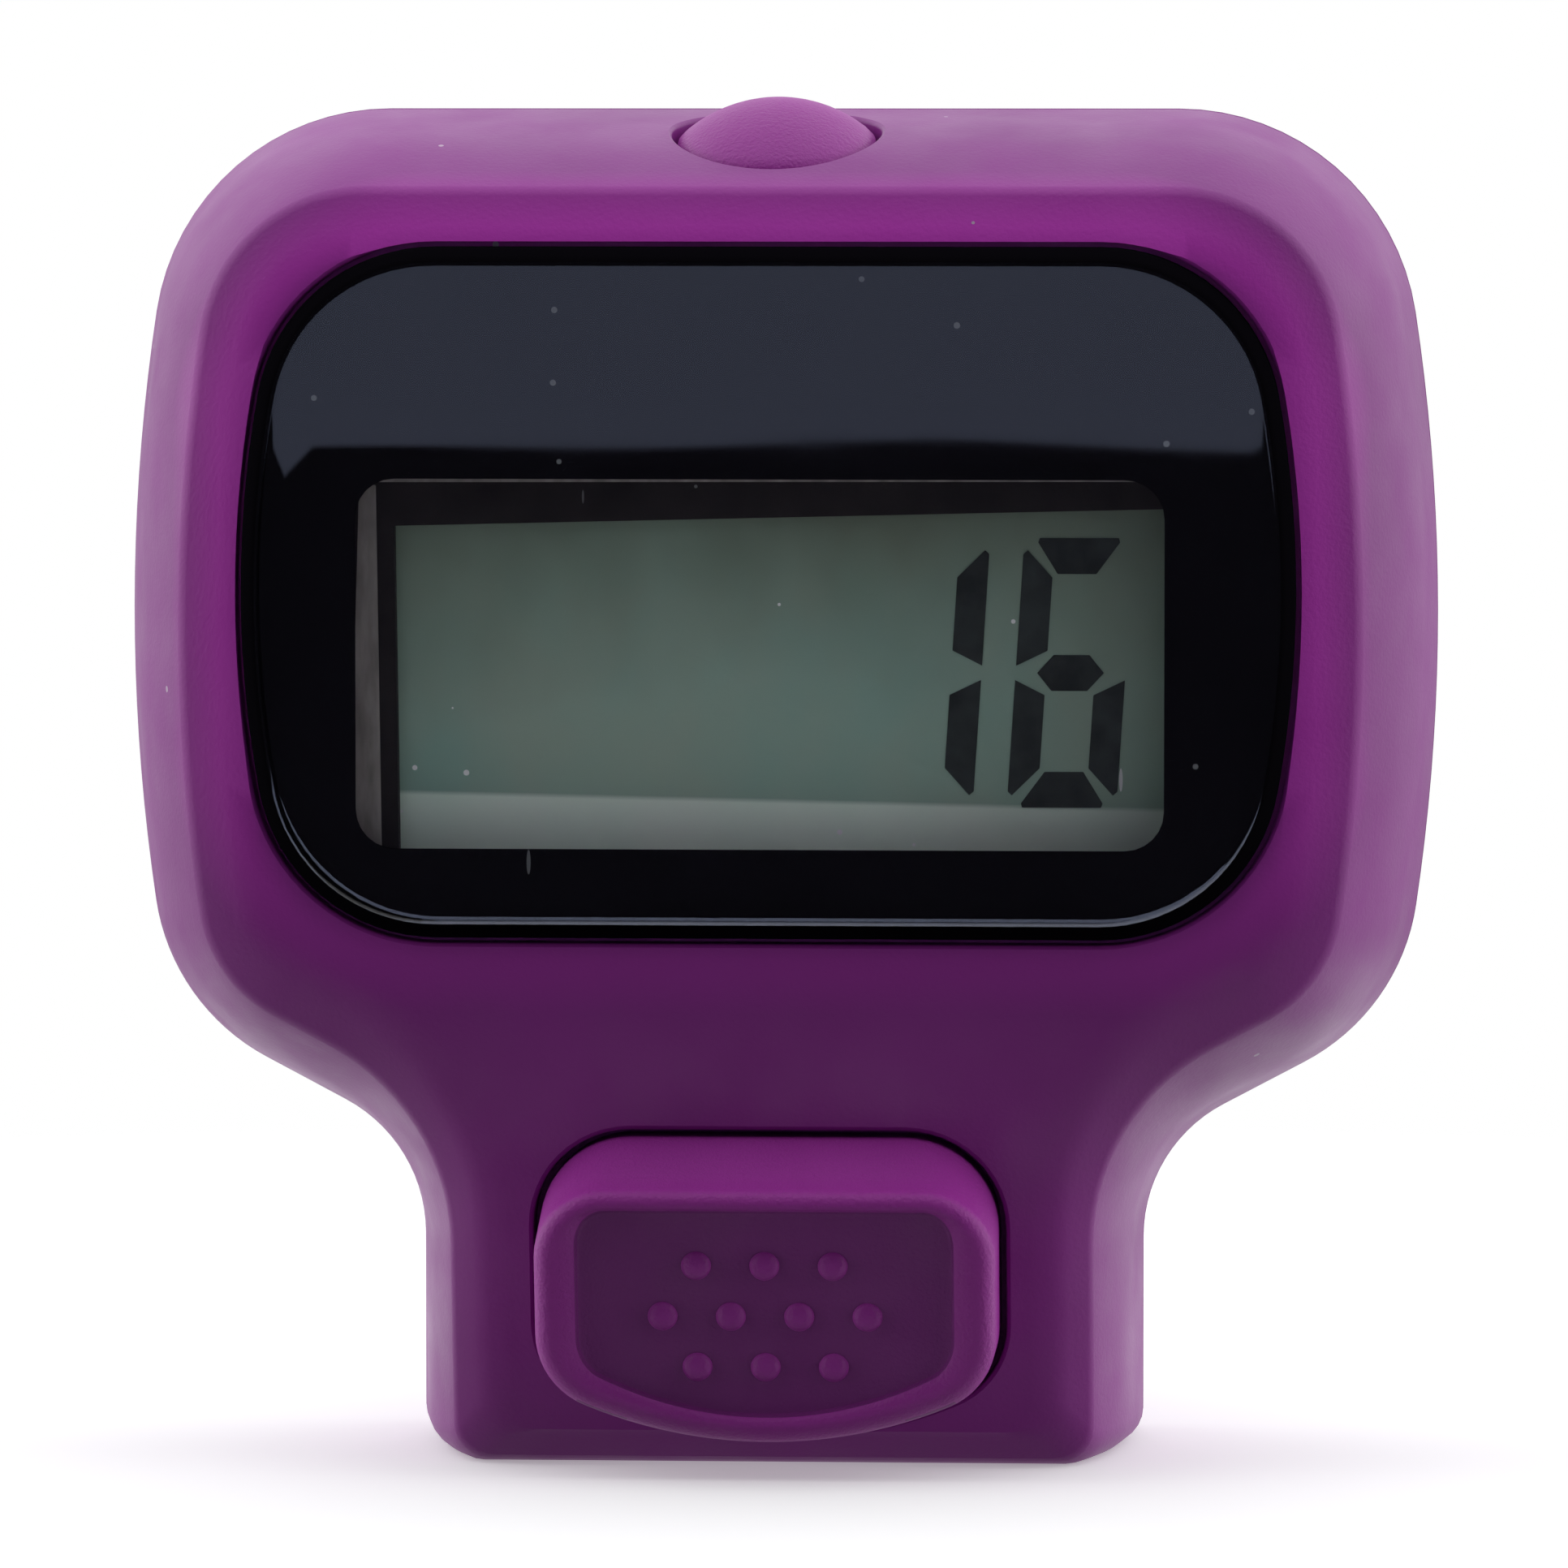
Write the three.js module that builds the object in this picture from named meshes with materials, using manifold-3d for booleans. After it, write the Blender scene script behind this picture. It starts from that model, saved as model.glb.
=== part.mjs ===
// Finger tally counter: a palm-sized electronic counter worn on one finger.
// Millimetres. X is to the right, Y runs from the face to the back, Z is up the face.
// The counter stands on the flat end of its neck, and the origin is the middle of that foot.
import * as THREE from "three";
import { mergeVertices } from "three/addons/utils/BufferGeometryUtils.js";
import Module from "manifold-3d";

const wasm = await Module();
wasm.setup();

// Case outline, seen from the front
const halfWidth = 18.63;
const height = 38.12;
const sideRadius = 57;
const sideMiddle = 23.64;
const topCornerRadius = 6.8;
const shoulderRadius = 6.1;
const shoulderHeight = 16.34;
const shoulderSlope = THREE.MathUtils.degToRad(28);
const neckHalfWidth = 10.32;
const neckCurveRadius = 4.3;
const footCornerRadius = 1;
const smallestRadius = 0.2;

// Case depth, walls and edges
const frontDepth = 8.6;
const rearDepth = 4.3;
const wall = 1.5;
const faceWall = 1.5;
const rearWall = 1.35;
const frontDraft = THREE.MathUtils.degToRad(9);
const rearDraft = THREE.MathUtils.degToRad(3);
const frontEdgeRadius = 0.55;
const frontSweep = 1.3;
const frontSweepDepth = 6;
const hollowRelief = 2.6;
const rearEdgeRadius = 1.5;
const neckShare = 0.6;
const footEdge = 0.7;
const footEdgeDepth = 1.7;
const neckTilt = THREE.MathUtils.degToRad(13);
const tiltBlend = 3.5;
const tiltToLens = 1.2;
const lipHeight = 0.7;
const lipThickness = 0.7;
const lipGap = 0.2;

// Display lens and its printed mask
const lensSideMargin = 3.98;
const lensTopMargin = 3.78;
const lensBelowShoulder = 1.2;
const lensCorner = 5;
const lensSideRadius = 31;
const lensThickness = 1.3;
const lensProud = 0.45;
const lensEdgeRadius = 0.8;
const lensGap = 0.15;
const maskThickness = 0.2;
const maskInset = 0.3;
const maskLeft = 3.15;
const maskRight = 3.65;
const maskBottom = 2.45;
const windowCorner = 1.1;
const seatThickness = 1.1;
const seatMargin = 1;
const openingMargin = 0.9;

// Display cell and the frame that holds it
const glassBelowWindow = 1.55;
const glassAboveWindow = 1.53;
const glassLedge = 1.9;
const glassThickness = 0.7;
const polarizerThickness = 0.2;
const polarizerInset = 0.2;
const reflectorThickness = 0.25;
const holderWall = 0.5;
const holderLip = 0.6;
const holderGap = 0.1;
const holderSwitchGap = 0.2;
const bezelLeftWidth = 0.95;
const bezelTopWidth = 1.2;
const bezelRightRoom = 0.2;
const bezelBottomRoom = 0.65;
const zebraEndInset = 0.7;
const zebraThickness = 1;
const zebraStep = 0.5;

// Circuit board and what is soldered to it
const boardLipGap = 0.1;
const boardThickness = 1;
const boardOverhang = 0.2;
const boardBelowFlange = 0.9;
const boardFootGap = 0.5;
const boardNeckMargin = 2.8;
const chipRadius = 3.2;
const chipHeight = 1;
const chipGap = 0.65;
const capacitorSize = [2, 0.9, 1.25];
const capacitorX = -7.5;
const capacitorDrop = 7.7;
const resistorSize = [1.6, 0.5, 0.8];
const resistorX = 8;
const resistorDrop = 8.2;

// Count button
const buttonSideMargin = 3.89;
const buttonBottom = 1.07;
const buttonRimTop = 8.34;
const buttonBaseTop = 9.54;
const buttonBottomArc = 13;
const buttonLowCorner = 2.2;
const buttonRimCorner = 2;
const buttonBaseCorner = 2.6;
const buttonProud = 3;
const buttonRimWidth = 1.15;
const buttonRimAbove = 0.6;
const buttonRimBelow = 0.75;
const buttonInset = 0.5;
const buttonEdge = 0.4;
const buttonWall = 1.2;
const buttonGap = 0.2;
const buttonTravel = 0.8;
const flangeWidth = 0.85;
const flangeThickness = 0.8;
const flangeRise = 1.1;
const flangeCorner = 0.9;
const flangeGap = 0.15;
const postRadius = 1.3;
const pipRadius = 0.42;
const pipHeight = 0.22;
const pipPitch = 1.9;
const pipRowPitch = 1.45;

// Reset button, in the top wall
const resetRadius = 2.8;
const resetLipGap = 0.1;
const resetGap = 0.15;
const resetRimSunk = 0.05;
const resetDomeRise = 1.1;
const resetTravel = 0.5;
const resetFlangeWidth = 0.8;
const resetFlangeSeatGap = 0.65;
const resetFlangeRoom = 0.18;
const resetFlangeThickness = 0.8;
const resetStemRadius = 1.1;
const resetStemLength = 0.7;

// Push switches
const countSwitchSize = 4.5;
const countSwitchHeight = 2.6;
const countSwitchRoom = 0.5;
const switchSheet = 0.2;
const plungerRadius = 1.2;
const plungerGap = 0.2;
const plungerProud = 1;
const plungerSunk = 1;
const plungerSpare = 0.1;
const plungerRestGap = 0.3;
const resetSwitchHalfWidth = 3;
const resetSwitchDepth = 3.3;
const resetSwitchHeight = 2.8;
const resetPlungerRadius = 1;
const resetPlungerProud = 0.8;
const resetPlungerRestGap = 0.2;
const resetPlungerSunk = 0.8;

// Battery, its contacts and its cover
const batteryRadius = 5.8;
const batteryThickness = 3.05;
const batteryTopGap = 1.15;
const batteryRim = 0.25;
const batteryCapInset = 0.75;
const batteryRoom = 0.2;
const batteryRingWall = 0.75;
const contactSpace = 0.5;
const contactSheet = 0.2;
const contactWidth = 3;
const contactDimple = 0.75;
const contactRestGap = 0.1;
const coverLedge = 0.9;
const coverThickness = 0.9;
const coverGap = 0.12;
const coverScrewReach = 2.2;
const coverEarRadius = 2.6;
const coverBossRadius = 2;
const coverScrewHeadRadius = 1.2;
const coverScrewHead = 0.5;
const coverScrewRadius = 0.5;
const coverScrewLength = 2.6;

// Case screws and board screws
const caseScrewBelowTop = 5.6;
const caseScrewBelowShoulder = 1.5;
const caseScrewRadius = 0.75;
const caseScrewHeadRadius = 1.3;
const caseScrewHead = 1;
const caseScrewLength = 5;
const caseScrewSeat = 1;
const caseBossRadius = 1.6;
const rearBossRadius = 1.9;
const bossGap = 0.1;
const bossSideGap = 0.3;
const boardScrewEdge = 1.9;
const boardLowScrewEdge = 2.7;
const boardLowScrewRise = 1.8;
const boardScrewRadius = 0.55;
const boardScrewHeadRadius = 1.2;
const boardScrewHead = 0.7;
const boardScrewLength = 3;
const boardPostRadius = 1.5;
const screwGap = 0.18;
const crossLengthShare = 0.6;
const crossWidthShare = 0.14;
const crossDepthShare = 0.5;

// Finger saddle and strap
const saddleDepth = 2;
const saddleBarGap = 1.06;
const strapBarFootGap = 0.24;
const strapBelowCover = 1.6;
const strapWidth = 9;
const strapThickness = 1.2;
const strapGap = 0.12;
const strapStraight = 6.6;
const strapOverlapGap = 0.3;
const strapBarOverhang = 1.25;
const strapBarHeight = 1.7;
const strapBarDepth = 1.6;
const strapTipAngle = THREE.MathUtils.degToRad(32);
const strapSwellAngle = THREE.MathUtils.degToRad(45);
const strapHoleRadius = 1.05;
const strapHolePitch = 2.3;
const strapHolesInward = 2;
const strapHolesOutward = 1;
const pegAngle = THREE.MathUtils.degToRad(5);
const pegRadius = 0.85;
const pegHeadRadius = 1.4;
const pegHead = 0.6;
const pegGap = 0.15;

// Fineness of round shapes
const sweepSteps = 4;
const cornerSteps = 6;
const sideSteps = 6;
const edgeSteps = 4;
const chipSteps = 4;
const smallSegments = 12;
const roundSegments = 24;
const wideSegments = 48;
const saddleSegments = 72;
const strapSteps = 16;

// Depths that follow from the sizes above, from the face to the back
const aheadOfFace = -2 * buttonProud;
const lensFront = -lensProud;
const lensBack = lensFront + lensThickness;
const seatFront = lensBack + maskThickness;
const seatBack = seatFront + seatThickness;
const holderFront = seatBack + holderGap;
const cellFront = holderFront + holderLip;
const frontGlassFront = cellFront + polarizerThickness;
const rearGlassFront = frontGlassFront + glassThickness;
const reflectorFront = rearGlassFront + glassThickness;
const boardBack = frontDepth - lipHeight - boardLipGap;
const boardFront = boardBack - boardThickness;
const batteryFront = boardBack + contactSpace;
const rearFace = frontDepth + rearDepth;
const rearInside = rearFace - rearWall;
const coverSeat = rearFace - coverThickness;
const caseScrewSeatBack = frontDepth + caseScrewSeat;
const resetDepth = frontDepth - lipHeight - resetLipGap - resetRadius;
const resetFlangeHalfDepth = resetDepth - seatBack - resetFlangeSeatGap;
const resetSwitchFront = boardFront - resetSwitchDepth;

// Widths that follow from the case
const lensHalfWidth = halfWidth - lensSideMargin;
const windowLeft = maskLeft - lensHalfWidth;
const windowRight = lensHalfWidth - maskRight;
const bezelLeft = windowLeft + bezelLeftWidth;
const bezelRight = windowRight + bezelRightRoom;
const cellHalfWidth = -windowLeft;
const holderHalfWidth = cellHalfWidth + holderGap + holderWall;
const zebraHalfWidth = cellHalfWidth - zebraEndInset;
const boardHalfWidth = cellHalfWidth + boardOverhang;
const boardNeckHalfWidth = neckHalfWidth - boardNeckMargin;
const buttonHalfWidth = neckHalfWidth - buttonSideMargin;
const resetFlangeHalfWidth = resetRadius + resetFlangeWidth;
const tubeRadius = batteryRadius + batteryRoom + batteryRingWall;
const coverRadius = batteryRadius + coverLedge;
const coverScrewX = coverRadius + coverScrewReach;

// How far the front walls have moved in at a depth: the inside by its draft, the outside by its sweep as well
const draftInset = (depth) => (frontDepth - depth) * Math.tan(frontDraft);
const sweepShare = (depth) => Math.max(frontSweepDepth - depth, 0) / frontSweepDepth;
const frontInset = (depth) => draftInset(depth) + frontSweep * sweepShare(depth) ** 2;
const frontEdgeAngle = Math.atan(Math.tan(frontDraft) + (2 * frontSweep) / frontSweepDepth);
const footInset = (depth) => footEdge * (Math.max(footEdgeDepth - depth, 0) / footEdgeDepth) ** 2;

// Heights that follow from the case, from the lens outwards
const lensBottom = shoulderHeight - lensBelowShoulder;
const lensTop = height - lensTopMargin;
const windowBottom = lensBottom + maskBottom;
const bezelBottom = windowBottom - bezelBottomRoom;
const cellBottom = windowBottom - glassBelowWindow;
const holderBottom = cellBottom - holderGap - holderWall;
const tiltEnd = lensBottom - tiltToLens - tiltBlend;
const flangeBottom = buttonBottom + flangeRise;
const countSwitchCentre = buttonBottom + buttonWall + countSwitchRoom + countSwitchSize / 2;
const resetFrontInset = frontInset(resetDepth - resetRadius);
const resetBackInset = frontInset(resetDepth + resetRadius);
const resetLean = (resetFrontInset - resetBackInset) / (2 * resetRadius);
const resetRimHeight = height - (resetFrontInset + resetBackInset) / 2 - resetRimSunk;
const resetFlangeTop = height - wall - draftInset(resetDepth - resetFlangeHalfDepth) - resetFlangeRoom;
const resetFlangeBottom = resetFlangeTop - resetFlangeThickness;
const resetStemEnd = resetFlangeBottom - resetStemLength;
const resetPlungerTip = resetStemEnd - resetPlungerRestGap;
const resetSwitchTop = resetPlungerTip - resetPlungerProud;
const resetSwitchBottom = resetSwitchTop - resetSwitchHeight;
const holderTop = resetSwitchBottom - holderSwitchGap;
const frontGlassTop = holderTop - holderWall - holderGap;
const rearGlassTop = frontGlassTop - glassLedge;
const windowTop = frontGlassTop - glassAboveWindow;
const bezelTop = windowTop - bezelTopWidth;
const boardTop = resetFlangeBottom - boardBelowFlange;
const boardBottom = wall + boardFootGap;
const boardLowScrew = holderBottom - boardPostRadius - bossSideGap;
const boardShoulder = boardLowScrew - boardLowScrewRise;
const batteryHeight = height - wall - batteryTopGap - tubeRadius;
const chipCentre = [0, batteryHeight - tubeRadius - chipGap - chipRadius];
const capacitorCentre = [capacitorX, batteryHeight - capacitorDrop];
const resistorCentre = [resistorX, batteryHeight - resistorDrop];
const lipInset = wall + lipGap + draftInset(frontDepth - lipHeight);
const strapLower = lipInset + lipThickness + strapBarHeight / 2 + strapBarFootGap;
const strapUpper = batteryHeight - coverRadius - strapBelowCover;
const strapRadius = (strapUpper - strapLower) / 2;
const strapMiddle = (strapUpper + strapLower) / 2;
const strapTurn = rearFace + strapStraight;
const strapBarWidth = strapWidth + 2 * strapBarOverhang;

// The saddle's arc, which ends clear of both strap bars on the inside of the rear wall
const saddleReach = strapRadius - strapBarHeight / 2 - saddleBarGap;
const saddleRadius = (saddleReach ** 2 + saddleDepth ** 2) / (2 * saddleDepth) - rearWall;

// Screw places on the right half: above and below the display
const caseScrewPlaces = [
  [boardHalfWidth + bossSideGap + caseBossRadius, height - caseScrewBelowTop],
  [holderHalfWidth + bossSideGap + caseBossRadius, shoulderHeight - caseScrewBelowShoulder],
];
const boardScrewPlaces = [
  [boardHalfWidth - boardScrewEdge, boardTop - boardScrewEdge],
  [boardHalfWidth - boardLowScrewEdge, boardLowScrew],
];

// How far the lower face lies back at height z: straight on the neck, then rounding into the flat face.
const slope = Math.tan(neckTilt);
function bend(z) {
  if (z < tiltEnd) return slope * (tiltBlend / 2 + tiltEnd - z);
  const left = tiltEnd + tiltBlend - z;
  return left > 0 ? (slope * left * left) / (2 * tiltBlend) : 0;
}

// The tilted plane of the neck, without its rounding
const neckPlane = (z) => slope * (tiltBlend / 2 + tiltEnd - z);

// Solids

// Turns a three.js geometry into a solid that can be joined and cut.
function solid(geometry) {
  const bare = new THREE.BufferGeometry().setAttribute("position", geometry.getAttribute("position"));
  if (geometry.index) bare.setIndex(geometry.index);
  const merged = mergeVertices(bare, 1e-5);
  return new wasm.Manifold(
    new wasm.Mesh({
      numProp: 3,
      vertProperties: merged.attributes.position.array,
      triVerts: new Uint32Array(merged.index.array),
    }),
  );
}

// A box between two corners
function box(x0, x1, y0, y1, z0, z1) {
  const shape = new THREE.BoxGeometry(x1 - x0, y1 - y0, z1 - z0);
  return solid(shape.translate((x0 + x1) / 2, (y0 + y1) / 2, (z0 + z1) / 2));
}

// A round bar along Y at (x, z)
function barY(x, z, radius, y0, y1, segments = roundSegments) {
  const bar = new THREE.CylinderGeometry(radius, radius, y1 - y0, segments);
  return solid(bar.translate(x, (y0 + y1) / 2, z));
}

// A round bar along Z at (x, y)
function barZ(x, y, radius, z0, z1, segments = roundSegments) {
  const bar = new THREE.CylinderGeometry(radius, radius, z1 - z0, segments);
  return solid(bar.rotateX(Math.PI / 2).translate(x, y, (z0 + z1) / 2));
}

// A flat outline in X and Z, extruded from y0 to y1
function plate(shape, y0, y1, segments) {
  const extruded = new THREE.ExtrudeGeometry(shape, {
    depth: y1 - y0,
    bevelEnabled: false,
    curveSegments: segments,
  });
  return solid(extruded.rotateX(Math.PI / 2).translate(0, y1, 0));
}

// A rectangle with round corners
function roundedRectangle(x0, x1, z0, z1, radius) {
  const shape = new THREE.Shape();
  shape.absarc(x1 - radius, z0 + radius, radius, -Math.PI / 2, 0);
  shape.absarc(x1 - radius, z1 - radius, radius, 0, Math.PI / 2);
  shape.absarc(x0 + radius, z1 - radius, radius, Math.PI / 2, Math.PI);
  shape.absarc(x0 + radius, z0 + radius, radius, Math.PI, Math.PI * 1.5);
  shape.closePath();
  return shape;
}

// Points along an arc, from angle a0 to a1
function arc(x, z, radius, a0, a1, steps) {
  const points = [];
  for (let i = 0; i <= steps; i++) {
    const a = a0 + ((a1 - a0) * i) / steps;
    points.push([x + radius * Math.cos(a), z + radius * Math.sin(a)]);
  }
  return points;
}

// A solid lofted through rings that mirror about x = 0, given from the back to the front.
// A ring has the points of its right half from the bottom up, and its Y at a height.
function loft(rings) {
  const positions = [];
  const index = [];
  const half = rings[0].points.length;
  const around = half * 2;
  for (const ring of rings) {
    for (const [x, z] of ring.points) positions.push(x, ring.y(z), z);
    for (const [x, z] of ring.points.slice().reverse()) positions.push(-x, ring.y(z), z);
  }
  for (let r = 0; r + 1 < rings.length; r++) {
    for (let i = 0; i < around; i++) {
      const a = r * around + i;
      const b = r * around + ((i + 1) % around);
      index.push(a, b, a + around, b, b + around, a + around);
    }
  }
  const last = (rings.length - 1) * around;
  for (let i = 0; i + 1 < half; i++) {
    const j = around - 1 - i;
    index.push(i, j, i + 1, j, j - 1, i + 1);
    index.push(last + i, last + i + 1, last + j, last + j, last + i + 1, last + j - 1);
  }
  const geometry = new THREE.BufferGeometry();
  geometry.setAttribute("position", new THREE.Float32BufferAttribute(positions, 3));
  geometry.setIndex(index);
  return solid(geometry);
}

const level = (y) => () => y;

// Outlines

// Where a round corner touches a bulging side from inside
function cornerX(width, side, middle, z, radius) {
  return width - side + Math.sqrt((side - radius) ** 2 - (z - middle) ** 2);
}

// The right half of the case outline, moved in by inset, and by its own amounts at neck and foot.
function caseOutline(inset, neckInset, footInset) {
  const middleX = halfWidth - sideRadius;
  const topZ = height - topCornerRadius;
  const topX = cornerX(halfWidth, sideRadius, sideMiddle, topZ, topCornerRadius);
  const shoulderX = cornerX(halfWidth, sideRadius, sideMiddle, shoulderHeight, shoulderRadius);
  const foot = footCornerRadius;
  const neckX = neckHalfWidth - neckInset;
  const hollow = neckCurveRadius + inset;
  const hollowX = neckX + hollow;
  const reach = shoulderRadius - inset + hollow - (hollowX - shoulderX) * Math.sin(shoulderSlope);
  const hollowZ = shoulderHeight - reach / Math.cos(shoulderSlope);
  const lowAngle = Math.atan2(shoulderHeight - sideMiddle, shoulderX - middleX);
  const highAngle = Math.atan2(topZ - sideMiddle, topX - middleX);
  const quarter = Math.PI / 2;
  return [
    ...arc(neckX - foot, footInset + foot, foot, -quarter, 0, edgeSteps),
    ...arc(hollowX, hollowZ, hollow, Math.PI, quarter + shoulderSlope, cornerSteps),
    ...arc(shoulderX, shoulderHeight, shoulderRadius - inset, shoulderSlope - quarter, lowAngle, cornerSteps),
    ...arc(middleX, sideMiddle, sideRadius - inset, lowAngle, highAngle, sideSteps).slice(1, -1),
    ...arc(topX, topZ, topCornerRadius - inset, highAngle, quarter, cornerSteps),
  ];
}

// The right half of the lens outline, grown by a margin
function lensOutline(margin) {
  const middle = (lensTop + lensBottom) / 2;
  const topZ = lensTop - lensCorner;
  const bottomZ = lensBottom + lensCorner;
  const x = cornerX(lensHalfWidth, lensSideRadius, middle, topZ, lensCorner);
  const centre = lensHalfWidth - lensSideRadius;
  const turn = Math.atan2(topZ - middle, x - centre);
  const quarter = Math.PI / 2;
  return [
    ...arc(x, bottomZ, lensCorner + margin, -quarter, -turn, cornerSteps),
    ...arc(centre, middle, lensSideRadius + margin, -turn, turn, sideSteps).slice(1, -1),
    ...arc(x, topZ, lensCorner + margin, turn, quarter, cornerSteps),
  ];
}

// The right half of the count button's outline: a wide arc below, straight sides, round top corners.
function buttonOutline(top, corner, inset) {
  const quarter = Math.PI / 2;
  const low = Math.max(buttonLowCorner - inset, smallestRadius);
  const high = Math.max(corner - inset, smallestRadius);
  const arcZ = buttonBottom + buttonBottomArc;
  const lowX = buttonHalfWidth - inset - low;
  const lowZ = arcZ - Math.sqrt((buttonBottomArc - inset - low) ** 2 - lowX ** 2);
  const turn = Math.atan2(lowZ - arcZ, lowX);
  const half = (turn + quarter) / (2 * cornerSteps);
  return [
    ...arc(0, arcZ, buttonBottomArc - inset, half - quarter, turn, cornerSteps).slice(0, -1),
    ...arc(lowX, lowZ, low, turn, 0, edgeSteps),
    ...arc(buttonHalfWidth - inset - high, top - inset - high, high, 0, quarter, cornerSteps),
  ];
}

// The edge of the button's sunk face: the rim round it is narrower above and below than at the sides
function dishOutline() {
  const low = buttonBottom + buttonRimWidth;
  const high = buttonRimTop - buttonRimWidth;
  const start = buttonBottom + buttonRimBelow;
  const stretch = (buttonRimTop - buttonRimAbove - start) / (high - low);
  const inner = buttonOutline(buttonRimTop, buttonRimCorner, buttonRimWidth);
  return inner.map(([x, z]) => [x, start + (z - low) * stretch]);
}

// A pill-shaped plate around the battery and the cover screw
function pill(margin, y0, y1) {
  const offset = coverRadius - coverEarRadius;
  const turn = Math.acos(offset / coverScrewX);
  const shape = new THREE.Shape();
  shape.absarc(0, batteryHeight, coverRadius + margin, turn, -turn + 2 * Math.PI);
  shape.absarc(coverScrewX, batteryHeight, coverEarRadius + margin, -turn, turn);
  shape.closePath();
  return plate(shape, y0, y1, roundSegments);
}

// A cylinder across the back, which the finger rests in
function fingerCylinder(radius) {
  const y = rearFace - saddleDepth + saddleRadius;
  const length = 2 * (halfWidth + wall);
  const bar = new THREE.CylinderGeometry(radius, radius, length, saddleSegments);
  return solid(bar.rotateZ(Math.PI / 2).translate(0, y, strapMiddle));
}

// Calls make(x, z, number) for a list of places on the right and again for their mirror on the left.
function eachMirrored(places, make) {
  const made = [];
  for (const [x, z] of places) {
    made.push(make(x, z, made.length + 1));
    made.push(make(-x, z, made.length + 1));
  }
  return made;
}

const addAll = (first, others) => others.reduce((sum, next) => sum.add(next), first);
const cutAll = (first, others) => others.reduce((rest, next) => rest.subtract(next), first);

// Parts

// The outside of the front case: side walls that sweep in, a round front edge and the face that bends back.
function frontBlock() {
  const startDepth = frontEdgeRadius * (1 - Math.sin(frontEdgeAngle));
  const startInset = frontInset(startDepth);
  const centreInset = startInset + frontEdgeRadius * Math.cos(frontEdgeAngle);
  const ring = (inset, depth) => ({
    points: caseOutline(inset, inset * neckShare, footInset(depth)),
    y: (z) => depth + bend(z) * (1 - depth / frontDepth),
  });
  const rings = [ring(0, frontDepth)];
  for (let i = 0; i < sweepSteps; i++) {
    const depth = frontSweepDepth + ((startDepth - frontSweepDepth) * i) / sweepSteps;
    rings.push(ring(frontInset(depth), depth));
  }
  for (let i = 0; i <= edgeSteps; i++) {
    const a = frontEdgeAngle + ((Math.PI / 2 - frontEdgeAngle) * i) / edgeSteps;
    rings.push(ring(centreInset - frontEdgeRadius * Math.cos(a), frontEdgeRadius * (1 - Math.sin(a))));
  }
  return loft(rings);
}

// The hollow of the front case, open at the parting plane and narrower under the swept walls
function frontHollow() {
  const ring = (inset, depth) => ({
    points: caseOutline(inset + wall, inset * neckShare + wall, wall),
    y: (z) => depth + (bend(z) * (frontDepth - depth)) / (frontDepth - faceWall),
  });
  return loft([
    { points: caseOutline(wall, wall, wall), y: level(frontDepth + wall) },
    ring(0, frontDepth),
    ring(draftInset(hollowRelief), hollowRelief),
    ring(frontInset(faceWall), faceWall),
  ]);
}

function frontCase() {
  const seat = loft([
    { points: lensOutline(seatMargin), y: level(seatBack) },
    { points: lensOutline(seatMargin), y: level(lensBack) },
  ]);
  const pocket = loft([
    { points: lensOutline(lensGap), y: level(seatFront) },
    { points: lensOutline(lensGap), y: level(aheadOfFace) },
  ]);
  const opening = box(
    windowLeft - openingMargin,
    windowRight + openingMargin,
    aheadOfFace,
    boardFront,
    windowBottom - openingMargin,
    windowTop + openingMargin,
  );
  const buttonHole = loft([
    { points: buttonOutline(buttonBaseTop, buttonBaseCorner, -buttonGap), y: level(boardFront) },
    { points: buttonOutline(buttonBaseTop, buttonBaseCorner, -buttonGap), y: level(aheadOfFace) },
  ]);
  const resetHole = barZ(0, resetDepth, resetRadius + resetGap, resetFlangeTop - wall, height + wall);
  const bosses = eachMirrored(caseScrewPlaces, (x, z) =>
    barY(x, z, caseBossRadius, lensBack, frontDepth - bossGap),
  );
  const bossHoles = eachMirrored(caseScrewPlaces, (x, z) =>
    barY(x, z, caseScrewRadius + screwGap, caseScrewSeatBack - caseScrewLength - screwGap, rearFace),
  );
  const posts = eachMirrored(boardScrewPlaces, (x, z) => barY(x, z, boardPostRadius, lensBack, boardFront));
  const postHoles = eachMirrored(boardScrewPlaces, (x, z) =>
    barY(x, z, boardScrewRadius + screwGap, boardBack - boardScrewLength - screwGap, rearFace),
  );
  const shell = frontBlock().subtract(frontHollow());
  const inside = addAll(seat, [...bosses, ...posts]).intersect(frontBlock());
  return cutAll(shell.add(inside), [pocket, opening, buttonHole, resetHole, ...bossHoles, ...postHoles]);
}

// The outside of the rear case: a slight draft and a round rear edge
function rearBlock() {
  const startDepth = rearDepth - rearEdgeRadius * (1 - Math.sin(rearDraft));
  const startInset = startDepth * Math.tan(rearDraft);
  const centreInset = startInset + rearEdgeRadius * Math.cos(rearDraft);
  const rings = [];
  for (let i = edgeSteps; i >= 0; i--) {
    const a = rearDraft + ((Math.PI / 2 - rearDraft) * i) / edgeSteps;
    const y = rearFace - rearEdgeRadius * (1 - Math.sin(a));
    const inset = centreInset - rearEdgeRadius * Math.cos(a);
    const foot = (footEdge * (inset - startInset)) / (centreInset - startInset);
    rings.push({ points: caseOutline(inset, inset * neckShare, foot), y: level(y) });
  }
  rings.push({ points: caseOutline(0, 0, 0), y: level(frontDepth) });
  return loft(rings);
}

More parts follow.
